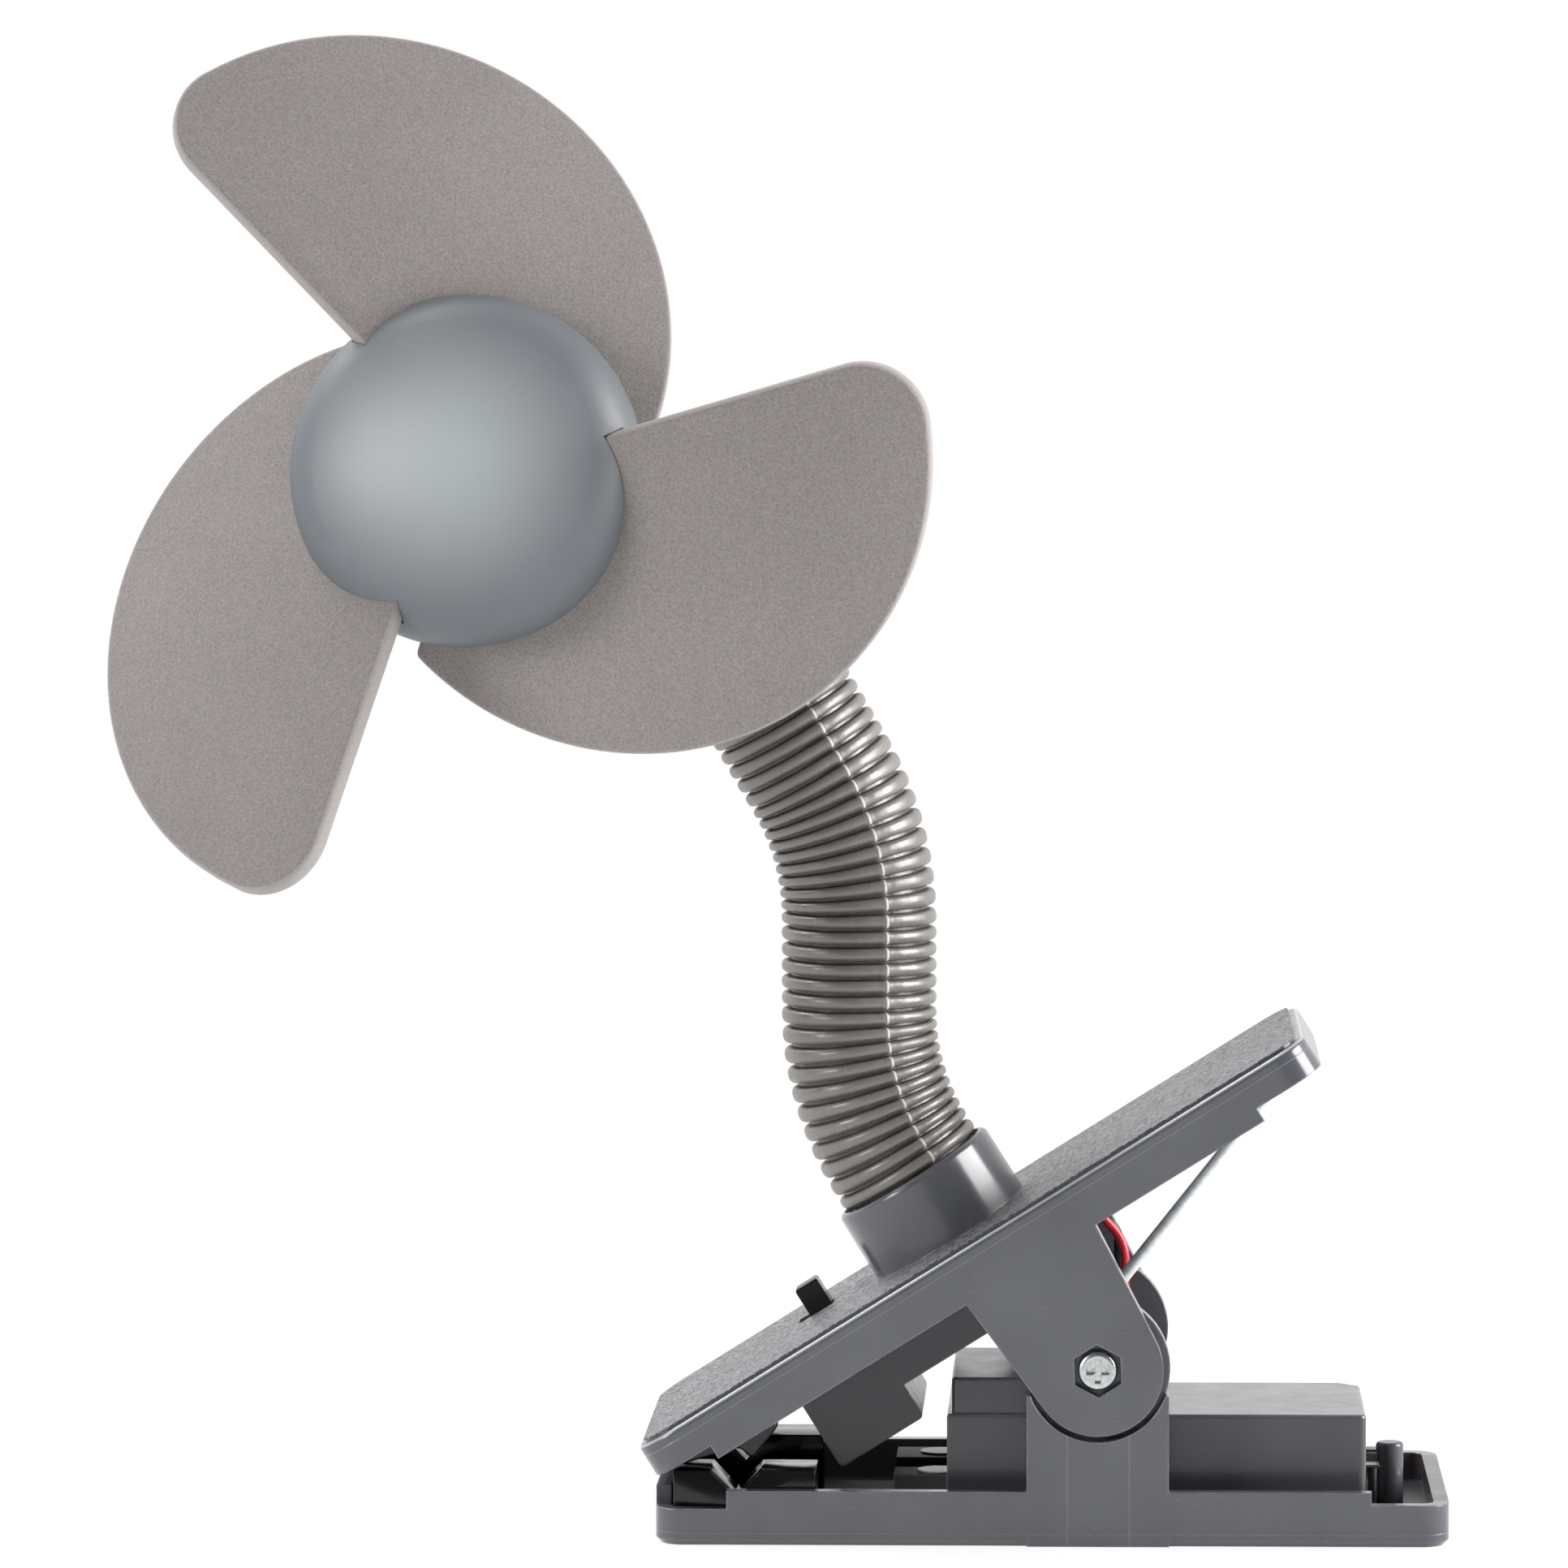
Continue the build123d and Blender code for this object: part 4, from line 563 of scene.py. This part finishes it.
def makeDomeSatin(name):
    material, tree, shader, place = newMaterial(name, domeLook["roughness"], specular=0.6)
    skin = useGroup(tree, mouldSkin, {"Vector": place, "Peel": 2400.0})
    skinTone = remap(tree, skin.outputs["Tone"], 0.3, 0.7)
    tint = mixColours(tree, skinTone, domeLook["colour"], domeLook["light"])
    fromFan = addNode(tree, "ShaderNodeVectorMath", {0: place, 1: tuple(fanCentre * mm)},
                      operation="SUBTRACT")
    fromAxis = addNode(tree, "ShaderNodeVectorMath", {0: fromFan.outputs[0], 1: tuple(fanAxis)},
                       operation="CROSS_PRODUCT")
    away = addNode(tree, "ShaderNodeVectorMath", {0: fromAxis.outputs[0]}, operation="LENGTH")
    away = away.outputs["Value"]
    # painted highlight: paler towards the fan's axis
    tint = mixColours(tree, remap(tree, away, 0.0, domeLook["poleHighlightReach"], 1.0, 0.0, soft=True), tint,
                      domeLook["middle"])
    low = domeLook["roughness"]
    rough = remap(tree, skin.outputs["Rough"], 0.25, 0.75, low - 0.02, low + 0.04)
    tree.links.new(tint, shader.inputs["Base Color"])
    tree.links.new(rough, shader.inputs["Roughness"])
    tree.links.new(bump(tree, skin.outputs["Height"], 0.0012 * mm), shader.inputs["Normal"])
    return material


neckLook = {
    "colour": paint(95, 90, 86),
    "light": paint(109, 104, 99),
    # painted shade in the grooves
    "groove": paint(34, 30, 28),
    # painted highlight along the mould seam
    "seam": paint(202, 197, 190),
    "roughness": 0.34,
    "seamHighlightWidth": 1.5,  # degrees to each side
}


def makeNeckVinyl(name):
    material, tree, shader, place = newMaterial(name, neckLook["roughness"], specular=0.9)
    skin = useGroup(tree, mouldSkin, {"Vector": place, "Peel": 1300.0})
    patches = noise(tree, place, 520.0, 3.0, 0.6)
    skinTone = remap(tree, skin.outputs["Tone"], 0.3, 0.7)
    tint = mixColours(tree, skinTone, neckLook["colour"], neckLook["light"])
    # painted shade in the grooves and along a line on the ribs
    depth = addNode(tree, "ShaderNodeAttribute", attribute_name="grooveShadeShare").outputs["Fac"]
    lipShade = addNode(tree, "ShaderNodeAttribute", attribute_name="lipShadeShare").outputs["Fac"]
    depth = calc(tree, "MAXIMUM", depth, calc(tree, "MULTIPLY", lipShade, 0.8))
    tint = mixColours(tree, calc(tree, "MULTIPLY", depth, 0.9), tint, neckLook["groove"])
    # painted highlight along the mould seam, broken up by the patches
    fromSeam = addNode(tree, "ShaderNodeAttribute", attribute_name="fromSeam").outputs["Fac"]
    seam = remap(tree, calc(tree, "ABSOLUTE", fromSeam), 0.3, neckLook["seamHighlightWidth"], 1.0, 0.0, soft=True)
    seam = calc(tree, "MULTIPLY", seam, remap(tree, patches, 0.25, 0.5, 0.6, 1.0))
    seam = calc(tree, "MULTIPLY", seam, calc(tree, "SUBTRACT", 1.0, depth))
    tint = mixColours(tree, seam, tint, neckLook["seam"])
    low = neckLook["roughness"]
    rough = remap(tree, patches, 0.3, 0.7, low - 0.08, low + 0.12)
    normal = bump(tree, skin.outputs["Height"], 0.016 * mm)
    normal = bump(tree, patches, 0.10 * mm, normal)
    tree.links.new(tint, shader.inputs["Base Color"])
    tree.links.new(rough, shader.inputs["Roughness"])
    tree.links.new(normal, shader.inputs["Normal"])
    return material


clipLower = makeClipPlastic("clipLower", "lower")
clipUpper = makeClipPlastic("clipUpper", "upper")
clipPlain = makeClipPlastic("clipPlain", "plain", paint(60, 60, 65), paint(66, 66, 71), 0.32, 0.3)
coverPlastic = makeClipPlastic("coverPlastic", "plain", paint(50, 50, 55), paint(57, 57, 62), 0.34, 0.3)
padRubber = makePlastic("padRubber", paint(14, 13, 13), paint(22, 20, 21), 0.14, 900.0, 0.010, 0.2,
                        paint(60, 58, 57), 0.3)
switchPlastic = makePlastic("switchPlastic", paint(14, 12, 11), paint(22, 20, 19), 0.26, 1200.0, 0.006,
                            0.2, paint(86, 84, 82), 0.4, specular=0.3)
headPlastic = makePlastic("headPlastic", paint(108, 105, 102), paint(118, 115, 112), 0.38, 800.0, 0.005,
                          0.35, paint(150, 147, 143))
drumPlastic = makePlastic("drumPlastic", paint(96, 100, 104), paint(106, 110, 114), 0.42)
redVinyl = makePlastic("redVinyl", paint(172, 18, 34), paint(190, 30, 44), 0.30, 1500.0, 0.006, 0.1)
blackVinyl = makePlastic("blackVinyl", paint(22, 21, 22), paint(34, 33, 34), 0.34, 1500.0, 0.006, 0.1)
cellWrap = makePlastic("cellWrap", paint(52, 54, 58), paint(64, 66, 70), 0.24, 500.0, 0.004, 0.2)
springSteel = makeMetal("springSteel", paint(226, 230, 230), paint(200, 206, 207), 0.34,
                        (900.0, 900.0, 900.0), 0.003, metallic=0.3)
zincSteel = makeMetal("zincSteel", paint(222, 227, 227), paint(186, 192, 192), 0.26,
                      (1500.0, 1500.0, 1500.0), 0.006, 0.25)
nickelPlate = makeMetal("nickelPlate", paint(122, 122, 118), paint(88, 88, 86), 0.30,
                        (500.0, 3500.0, 3500.0))
motorSteel = makeMetal("motorSteel", paint(190, 192, 194), paint(150, 152, 154), 0.32,
                       (800.0, 3500.0, 800.0))
bronze = makeMetal("bronze", paint(196, 160, 92), paint(150, 118, 66), 0.40, (1800.0, 1800.0, 1800.0))
flexSteel = makeMetal("flexSteel", paint(168, 170, 172), paint(120, 122, 124), 0.30,
                      (900.0, 900.0, 3000.0))
bladeFoam = makeFoam("bladeFoam")
bladeEdge = makeFoam("bladeEdge", cutEdge=True)
domeSatin = makeDomeSatin("domeSatin")
neckVinyl = makeNeckVinyl("neckVinyl")

nodeFinishes = {
    clipLower: ["lower_jaw"],
    clipUpper: ["upper_jaw"],
    clipPlain: ["wiring_cap", "battery_door"],
    coverPlastic: ["switch_cover"],
    padRubber: [f"{jaw}_pad_{side}" for jaw in ("lower", "upper") for side in ("near", "far")],
    switchPlastic: ["switch_knob", "switch_body", "motor_end_cap"],
    headPlastic: ["housing_front", "housing_rear"],
    drumPlastic: ["hub_drum"],
    redVinyl: ["red_lead"],
    blackVinyl: ["black_lead", "switch_lead"] + [f"motor_leads_{k}" for k in range(1, 8)],
    cellWrap: ["cell_1", "cell_2"],
    springSteel: ["torsion_spring", "motor_shaft"],
    zincSteel: ["hinge_screw", "hinge_nut", "cover_screw_1", "cover_screw_2", "door_screw", "neck_nut"],
    nickelPlate: ["bridge_contact", "contact_plate_plus", "contact_plate_minus"],
    motorSteel: ["motor_can", "armature"],
    bronze: ["motor_bush"],
    flexSteel: [f"gooseneck_{k}" for k in range(1, 8)],
    neckVinyl: [f"neck_sleeve_{k}" for k in range(1, 8)],
    bladeFoam: ["blade_1", "blade_2", "blade_3"],
    domeSatin: ["hub_dome"],
}
for finish, names in nodeFinishes.items():
    for name in names:
        dress(nodes[name], finish)
print("materials made:", len(bpy.data.materials))

# the neck
neckShape = {
    "start": jawSpot(-9.5, 18.4),
    "firstBend": jawSpot(-9.5, 50.65),
    "secondBend": Vector((-28.3, 0.0, 99.6)),
    "thirdBend": Vector((-47.9, -1.5, 133.3)),
    "lastBend": fanCentre - 55.5 * fanAxis,
    "end": fanCentre - 22.6 * fanAxis,
    "bendRadii": (40.0, 42.0, 36.0, 28.0),
    "pitch": 2.36,
    "firstRib": 19.08,
    "crown": 11.3,
    "groove": 10.0,
    "bore": 5.8,
    "deckPlace": 7.2,
    "plainTop": 17.3,
    "socketStart": 148.5,
    "sleeveEnd": 153.4,
    "segments": 96,
    "seamTurn": 23.6,  # degrees round from the viewer's side
    "seamRise": 1.017,
    "bendReach": 5.5,
    "lipShadePlace": -0.27,  # painted shade line along the ribs: share of the pitch from the rib's middle
    "lipShadeFrom": 2.0,  # degrees from the seam
    "lipShadeTo": 80.0,
}


# the neck's middle line, straight runs joined by arcs, as a curve to bend pieces along
def makeNeckLine():
    cornerNames = ("start", "firstBend", "secondBend", "thirdBend", "lastBend", "end")
    corners = [neckShape[name] for name in cornerNames]
    spots = [(corners[0], None, None)]
    for index, radius in enumerate(neckShape["bendRadii"], start=1):
        before = (corners[index] - corners[index - 1]).normalized()
        after = (corners[index + 1] - corners[index]).normalized()
        turn = before.angle(after)
        reach = radius * tan(turn / 2)
        handle = 4 / 3 * tan(turn / 4) * radius
        arcStart = corners[index] - before * reach
        arcEnd = corners[index] + after * reach
        spots.append((arcStart, before, handle))
        spots.append((arcEnd, after, -handle))
    spots.append((corners[-1], None, None))
    line = bpy.data.curves.new("neckLine", "CURVE")
    line.dimensions = "3D"
    line.resolution_u = 48
    spline = line.splines.new("BEZIER")
    spline.bezier_points.add(len(spots) - 1)
    for index, (spot, way, handle) in enumerate(spots):
        point = spline.bezier_points[index]
        point.handle_left_type = point.handle_right_type = "FREE"
        point.co = spot * mm
        before = spots[max(index - 1, 0)][0]
        after = spots[min(index + 1, len(spots) - 1)][0]
        point.handle_left = (spot + (before - spot) / 3) * mm
        point.handle_right = (spot + (after - spot) / 3) * mm
        if handle is not None and handle > 0:
            point.handle_right = (spot + way * handle) * mm
        if handle is not None and handle < 0:
            point.handle_left = (spot + way * handle) * mm
    guide = bpy.data.objects.new("neckLine", line)
    bpy.context.scene.collection.objects.link(guide)
    return guide


# outline of one rib from groove to groove: share of the pitch, radius
crown = neckShape["crown"]
groove = neckShape["groove"]
ribHalf = [(0.15, 11.27), (0.27, 11.14), (0.355, 10.88), (0.40, 10.45), (0.425, groove), (0.5, groove)]
ribOutline = [(-share, radius) for share, radius in reversed(ribHalf)] + [(0.0, crown)] + ribHalf


def growTube(steps, radius):
    for along, newRadius in steps:
        bpy.ops.mesh.extrude_region_move(TRANSFORM_OT_translate={"value": (along * mm, 0, 0)})
        share = newRadius / radius
        if abs(share - 1) > 1e-6:
            bpy.ops.transform.resize(value=(1, share, share), center_override=(0, 0, 0))
        radius = newRadius


def endLoop(piece, last):
    places = [vertex.co.x for vertex in piece.data.vertices]
    edge = max(places) if last else min(places)
    pick(piece, lambda vertex: abs(vertex.co.x - edge) < 1e-6)


# a stretch of ribbed sleeve, modelled straight along x and bent to the neck's line
def makeSleeve(name, firstCell, lastCell, guide):
    shape = neckShape
    pitch = shape["pitch"]
    begin = shape["firstRib"] + (firstCell - 0.5) * pitch
    letGo()
    bpy.ops.mesh.primitive_circle_add(
        vertices=shape["segments"], radius=ribOutline[0][1] * mm, fill_type="NOTHING",
        location=(begin * mm, 0, 0), rotation=(0, pi / 2, 0))
    sleeve = newPiece(name)
    settle(sleeve)
    pick(sleeve, lambda vertex: True)
    steps = [((here[0] - before[0]) * pitch, here[1]) for before, here in zip(ribOutline, ribOutline[1:])]
    growTube(steps, ribOutline[0][1])
    doneEditing()
    applyModifier(
        sleeve, "ARRAY", count=lastCell - firstCell + 1, use_relative_offset=False,
        use_constant_offset=True, constant_offset_displace=(pitch * mm, 0, 0),
        use_merge_vertices=True, merge_threshold=0.01 * mm)
    finish = shape["firstRib"] + (lastCell + 0.5) * pitch
    atDeck = firstCell == 0
    atHead = lastCell == cellRanges[-1][1]
    if atDeck:
        endLoop(sleeve, last=False)
        growTube([(shape["plainTop"] - begin, groove), (-0.1, 11.1), (-0.3, crown),
                  (shape["deckPlace"] - shape["plainTop"] + 0.4, crown)], groove)
        doneEditing()
    if atHead:
        endLoop(sleeve, last=True)
        growTube([(shape["socketStart"] - finish, groove), (0.1, 11.1), (0.3, crown),
                  (shape["sleeveEnd"] - shape["socketStart"] - 0.4, crown)], groove)
        doneEditing()
    # both ends turn in to the bore, which is bridged in short lengths so that it bends
    for last in (False, True):
        endLoop(sleeve, last)
        radius = crown if (atHead if last else atDeck) else groove
        growTube([(0.0, shape["bore"])], radius)
        doneEditing()
    bore = shape["bore"] * mm
    pick(sleeve, lambda vertex: Vector((vertex.co.y, vertex.co.z)).length < bore + 0.05 * mm)
    bpy.ops.mesh.bridge_edge_loops(number_cuts=lastCell - firstCell + 2)
    doneEditing()
    # mould seams, front and back
    for turn in (shape["seamTurn"], shape["seamTurn"] + 180):
        way = Vector((cos(radians(turn)), sin(radians(turn))))
        def onSeam(vertex):
            across = Vector((vertex.co.y, vertex.co.z))
            return across.length > 9.9 * mm and across.normalized().dot(way) > cos(radians(2.0))
        pick(sleeve, onSeam)
        rise = shape["seamRise"]
        bpy.ops.transform.resize(value=(1, rise, rise), center_override=(0, 0, 0))
        doneEditing()
    # kept on the points for the material: depth in the groove, which carries painted groove shade, degrees
    # from the nearest seam, and a painted shade line along the ribs on one side of it
    grooveShades = sleeve.data.attributes.new("grooveShadeShare", "FLOAT", "POINT")
    turns = sleeve.data.attributes.new("fromSeam", "FLOAT", "POINT")
    lipShades = sleeve.data.attributes.new("lipShadeShare", "FLOAT", "POINT")
    seamWay = Vector((cos(radians(shape["seamTurn"])), sin(radians(shape["seamTurn"]))))
    for index, vertex in enumerate(sleeve.data.vertices):
        across = Vector((vertex.co.y, vertex.co.z))
        radius = across.length / mm
        grooveShades.data[index].value = max(0.0, min(1.0, (11.0 - radius) / 0.9))
        turn = seamWay.angle_signed(across, 0.0) * 180 / pi
        turns.data[index].value = turn if abs(turn) <= 90 else (180 - abs(turn)) * (1 if turn > 0 else -1)
        share = (vertex.co.x / mm - shape["firstRib"]) / pitch + 0.5
        share = share - int(share) - 0.5
        onLipShade = abs(share - shape["lipShadePlace"]) < 0.02 and radius > 10.7
        lipShades.data[index].value = 1.0 if onLipShade and shape["lipShadeFrom"] < turn < shape["lipShadeTo"] else 0.0
    pick(sleeve, lambda vertex: True)
    bpy.ops.mesh.normals_make_consistent(inside=False)
    doneEditing()
    applyModifier(sleeve, "CURVE", object=guide, deform_axis="POS_X")
    smooth(sleeve, 50)
    dress(sleeve, neckVinyl)
    return sleeve


neckLine = makeNeckLine()
cellRanges = [(0, 8), (9, 16), (17, 24), (25, 32), (33, 40), (41, 54)]
for index, (firstCell, lastCell) in enumerate(cellRanges):
    sleeve = makeSleeve(f"neckSleeve{index + 1}", firstCell, lastCell, neckLine)
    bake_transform(sleeve)
    stoodFor = [f"neck_sleeve_{index + 1}"]
    if index == len(cellRanges) - 1:
        stoodFor.append("neck_sleeve_7")
    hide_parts(*stoodFor)
bpy.data.objects.remove(neckLine)
print("neck made")

# blades
bladeShape = {"edgeRound": 0.75 * mm, "roundSegments": 3}


def makeBlade(number):
    blade = mergedCopy(f"blade_{number}", f"foamBlade{number}", 1.0)
    applyModifier(blade, "BEVEL", width=bladeShape["edgeRound"], segments=bladeShape["roundSegments"],
                  limit_method="ANGLE", angle_limit=radians(50), use_clamp_overlap=True)
    normals = [polygon.normal.copy() for polygon in blade.data.polygons]
    largest = max(blade.data.polygons, key=lambda polygon: polygon.area).normal.copy()
    dress(blade, bladeFoam, bladeEdge)
    for polygon, normal in zip(blade.data.polygons, normals):
        polygon.material_index = 1 if abs(normal.dot(largest)) < 0.8 else 0
    smooth(blade, 40)
    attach(blade, "rotor")
    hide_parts(f"blade_{number}")


for number in (1, 2, 3):
    makeBlade(number)
print("blades made")

# torsion spring
springShape = {
    "wire": 0.9,
    "radius": 3.0,
    "pitch": 2.0,
    "turns": 4.301,
    "start": 4.3,
    "upperAngle": 51.6,
    "upperArm": 49.4,
    "lowerArm": 11.4,
    "sides": 16,
}


def makeSpring():
    shape = springShape
    armWay = Vector((cos(radians(shape["upperAngle"])), 0, sin(radians(shape["upperAngle"]))))
    side = Vector((-armWay.z, 0, armWay.x))
    down = Vector((0, -1, 0))
    letGo()
    bpy.ops.mesh.primitive_circle_add(
        vertices=shape["sides"], radius=shape["wire"] * mm, fill_type="NOTHING",
        location=(shape["radius"] * mm, 0, 0), rotation=(pi / 2, 0, 0))
    spring = newPiece("jawSpring")
    settle(spring)
    turns = shape["turns"]
    applyModifier(
        spring, "SCREW", angle=2 * pi * turns, screw_offset=shape["pitch"] * turns * mm,
        steps=int(28 * turns), render_steps=int(28 * turns), iterations=1, axis="Z",
        use_merge_vertices=False)
    endAngle = 2 * pi * turns
    startCentre = Vector((shape["radius"] * mm, 0, 0))
    endCentre = Vector((cos(endAngle), sin(endAngle), 0)) * shape["radius"] * mm
    endCentre.z = shape["pitch"] * turns * mm
    arms = (
        (startCentre, Vector((0, -1, 0)) * shape["upperArm"] * mm),
        (endCentre, Vector((-sin(endAngle), cos(endAngle), 0)) * shape["lowerArm"] * mm),
    )
    for centre, reach in arms:
        way = reach.normalized()
        def onEnd(vertex):
            away = vertex.co - centre
            return away.length < shape["wire"] * 1.02 * mm and abs(away.dot(way)) < 0.12 * mm
        pick(spring, onEnd)
        bpy.ops.mesh.extrude_region_move(TRANSFORM_OT_translate={"value": reach * 0.985})
        bpy.ops.mesh.extrude_region_move(TRANSFORM_OT_translate={"value": reach * 0.01})
        bpy.ops.transform.resize(value=(0.8, 0.8, 0.8), center_override=centre + reach * 0.995)
        bpy.ops.mesh.edge_face_add()
        doneEditing()
    pick(spring, lambda vertex: True)
    bpy.ops.mesh.normals_make_consistent(inside=False)
    doneEditing()
    origin = hingeSpot + Vector((0, shape["start"], 0))
    turned = Matrix((side, down.cross(side), down)).transposed()
    settle(spring, Matrix.Translation(origin * mm) @ turned.to_4x4())
    smooth(spring, 50)
    dress(spring, springSteel)
    reach = Vector((0, (shape["start"] - 0.4) * mm, 0))
    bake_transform(spring)
    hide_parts("torsion_spring")


makeSpring()
print("spring made")

# grip pads with softened edges: the piece's name, its body and the edge's width
gripPads = {
    "lower_pad_near": ("gripPadLowerNear", "base", 0.2),
    "lower_pad_far": ("gripPadLowerFar", "base", 0.2),
    "upper_pad_near": ("gripPadUpperNear", "cover", 0.6),
    "upper_pad_far": ("gripPadUpperFar", "cover", 0.6),
}
for nodeName, (pieceName, body, width) in gripPads.items():
    pad = mergedCopy(nodeName, pieceName)
    applyModifier(pad, "BEVEL", width=width * mm, segments=3, limit_method="ANGLE",
                  angle_limit=radians(15), use_clamp_overlap=True)
    smooth(pad, 35)
    dress(pad, padRubber)
    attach(pad, body)
    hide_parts(nodeName)
print("grip pads made")

# battery leads, cut into rings beside the hinge
leadShape = {
    "cutFrom": -3.0,  # rings are cut at these heights above the hinge, square to the deck
    "cutTo": 18.0,
    "cutStep": 1.0,
    "bendFrom": 0.0,
    "bendTo": 17.0,
    "pieces": {
        "red_lead": ("redLead", "lead_red", redVinyl),
        "black_lead": ("blackLead", "lead_black", blackVinyl),
    },
}


def makeLeads():
    square = Vector((-sin(jawTilt), 0.0, cos(jawTilt)))
    for nodeName, (pieceName, slotName, material) in leadShape["pieces"].items():
        lead = mergedCopy(nodeName, pieceName, 0.1)
        height = leadShape["cutFrom"]
        while height <= leadShape["cutTo"]:
            pick(lead, lambda vertex: True)
            bpy.ops.mesh.bisect(plane_co=(hingeSpot + square * height) * mm, plane_no=square)
            doneEditing()
            height += leadShape["cutStep"]
        smooth(lead, 60)
        dress(lead, material)
        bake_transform(lead)
        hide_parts(nodeName)


makeLeads()
print("leads made")

# raised mark between the knob and the collar, its line running across the deck
markShape = {
    "text": "ON",
    "size": 4.3,
    "stretch": 1.7,
    "thickness": 0.06,
    "place": (-25.1, 25.6, 5.0),
}


def makeMark():
    letGo()
    bpy.ops.object.text_add(location=(0, 0, 0))
    mark = newPiece("switchMark")
    mark.data.body = markShape["text"]
    mark.data.align_x = "CENTER"
    mark.data.align_y = "CENTER"
    mark.data.size = markShape["size"] * mm
    mark.data.extrude = markShape["thickness"] * mm
    hold(mark)
    bpy.ops.object.convert(target="MESH")
    mark = bpy.context.object
    turned = Matrix.Rotation(radians(-90), 4, "Z") @ Matrix.Diagonal((markShape["stretch"], 1.0, 1.0, 1.0))
    settle(mark, jawFrame(*markShape["place"]) @ turned)
    pick(mark, lambda vertex: True)
    bpy.ops.mesh.remove_doubles(threshold=0.002 * mm)
    bpy.ops.mesh.normals_make_consistent(inside=False)
    doneEditing()
    # the darker cover plastic paints shade on the raised letters
    dress(mark, coverPlastic)
    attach(mark, "cover")


makeMark()
print("mark made")

# floor, light and camera
stageLook = {
    "floor": (0.86, 0.86, 0.86, 1.0),
    "shadowShare": 0.16,
    "shadowFade": (0.10, 0.42),  # metres from the middle over which the shadow goes
    "reach": 9.0,
}


def makeFloor():
    letGo()
    bpy.ops.mesh.primitive_plane_add(size=2 * stageLook["reach"], location=(0, 0, -0.00005))
    floor = newPiece("floor")
    settle(floor)
    material = bpy.data.materials.new("paleFloor")
    material.use_nodes = True
    tree = material.node_tree
    shader = tree.nodes["Principled BSDF"]
    output = tree.nodes["Material Output"]
    place = addNode(tree, "ShaderNodeTexCoord").outputs["Object"]
    cloud = remap(tree, noise(tree, place, 6.0), 0.3, 0.7, 0.98, 1.0)
    tint = mixColours(tree, 1.0, stageLook["floor"], cloud, "MULTIPLY")
    tree.links.new(tint, shader.inputs["Base Color"])
    shader.inputs["Roughness"].default_value = 0.8
    shader.inputs["Specular IOR Level"].default_value = 0.1
    path = addNode(tree, "ShaderNodeLightPath")
    seen = calc(tree, "MAXIMUM", path.outputs["Is Camera Ray"],
                calc(tree, "MAXIMUM", path.outputs["Is Glossy Ray"], path.outputs["Is Transmission Ray"]))
    white = addNode(tree, "ShaderNodeEmission", {"Color": (1, 1, 1, 1), "Strength": 1.0})
    away = addNode(tree, "ShaderNodeVectorMath", {0: place}, operation="LENGTH").outputs["Value"]
    fadeStart, fadeEnd = stageLook["shadowFade"]
    cleared = remap(tree, away, fadeStart, fadeEnd, 1.0 - stageLook["shadowShare"], 1.0, soft=True)
    share = calc(tree, "MULTIPLY", seen, cleared)
    mixed = addNode(tree, "ShaderNodeMixShader", {0: share, 1: shader.outputs[0], 2: white.outputs[0]})
    tree.links.new(mixed.outputs[0], output.inputs["Surface"])
    floor.data.materials.append(material)


lightLook = {
    "worldBack": 1.0,  # the white sweep behind the fan
    "worldFront": 0.10,
    # place, size and strength in watts of each softbox; all face the fan
    "frontLeft": ((-1.15, -0.80, 0.55), (0.55, 0.55), 14.0),
    "right": ((1.06, -0.10, 0.46), (0.70, 0.86), 28.0),
    "topLeft": ((-0.62, 0.30, 1.05), (0.7, 0.7), 14.0),
    "target": (-0.03, -0.02, 0.09),
}


def makeLights():
    world = bpy.data.worlds.new("studio")
    bpy.context.scene.world = world
    world.use_nodes = True
    tree = world.node_tree
    background = tree.nodes["Background"]
    way = addNode(tree, "ShaderNodeTexCoord").outputs["Generated"]
    axes = addNode(tree, "ShaderNodeSeparateXYZ", {0: way})
    sweep = remap(tree, axes.outputs[1], -0.15, 0.45, lightLook["worldFront"], lightLook["worldBack"],
                  soft=True)
    seen = addNode(tree, "ShaderNodeLightPath").outputs["Is Camera Ray"]
    strength = calc(tree, "MAXIMUM", sweep, seen)
    background.inputs["Color"].default_value = (1.0, 1.0, 1.0, 1.0)
    tree.links.new(strength, background.inputs["Strength"])
    target = Vector(lightLook["target"])
    for name in ("frontLeft", "right", "topLeft"):
        spot, size, power = lightLook[name]
        spot = Vector(spot)
        letGo()
        bpy.ops.object.light_add(type="AREA", location=spot)
        lamp = bpy.context.object
        lamp.name = name + "Softbox"
        lamp.data.shape = "RECTANGLE"
        lamp.data.size, lamp.data.size_y = size
        lamp.data.energy = power
        lamp.rotation_euler = (target - spot).to_track_quat("-Z", "Y").to_euler()


cameraLook = {
    "place": (7.856, -1139.208, 189.595),
    "turn": (86.238, 0.0757, 1.6715),
    "lens": 179.94,
    "shift": (-0.06, -0.03),
}


def makeCamera():
    letGo()
    place = Vector(cameraLook["place"]) * mm
    turn = [radians(angle) for angle in cameraLook["turn"]]
    bpy.ops.object.camera_add(location=place, rotation=turn)
    camera = bpy.context.object
    camera.name = "photoCamera"
    camera.data.sensor_width = 36.0
    camera.data.lens = cameraLook["lens"]
    camera.data.shift_x, camera.data.shift_y = cameraLook["shift"]
    camera.data.clip_start = 0.01
    camera.data.clip_end = 60.0
    bpy.context.scene.camera = camera


makeFloor()
makeLights()
makeCamera()
bpy.context.scene.view_settings.view_transform = "Standard"
print("floor, lights and camera made")
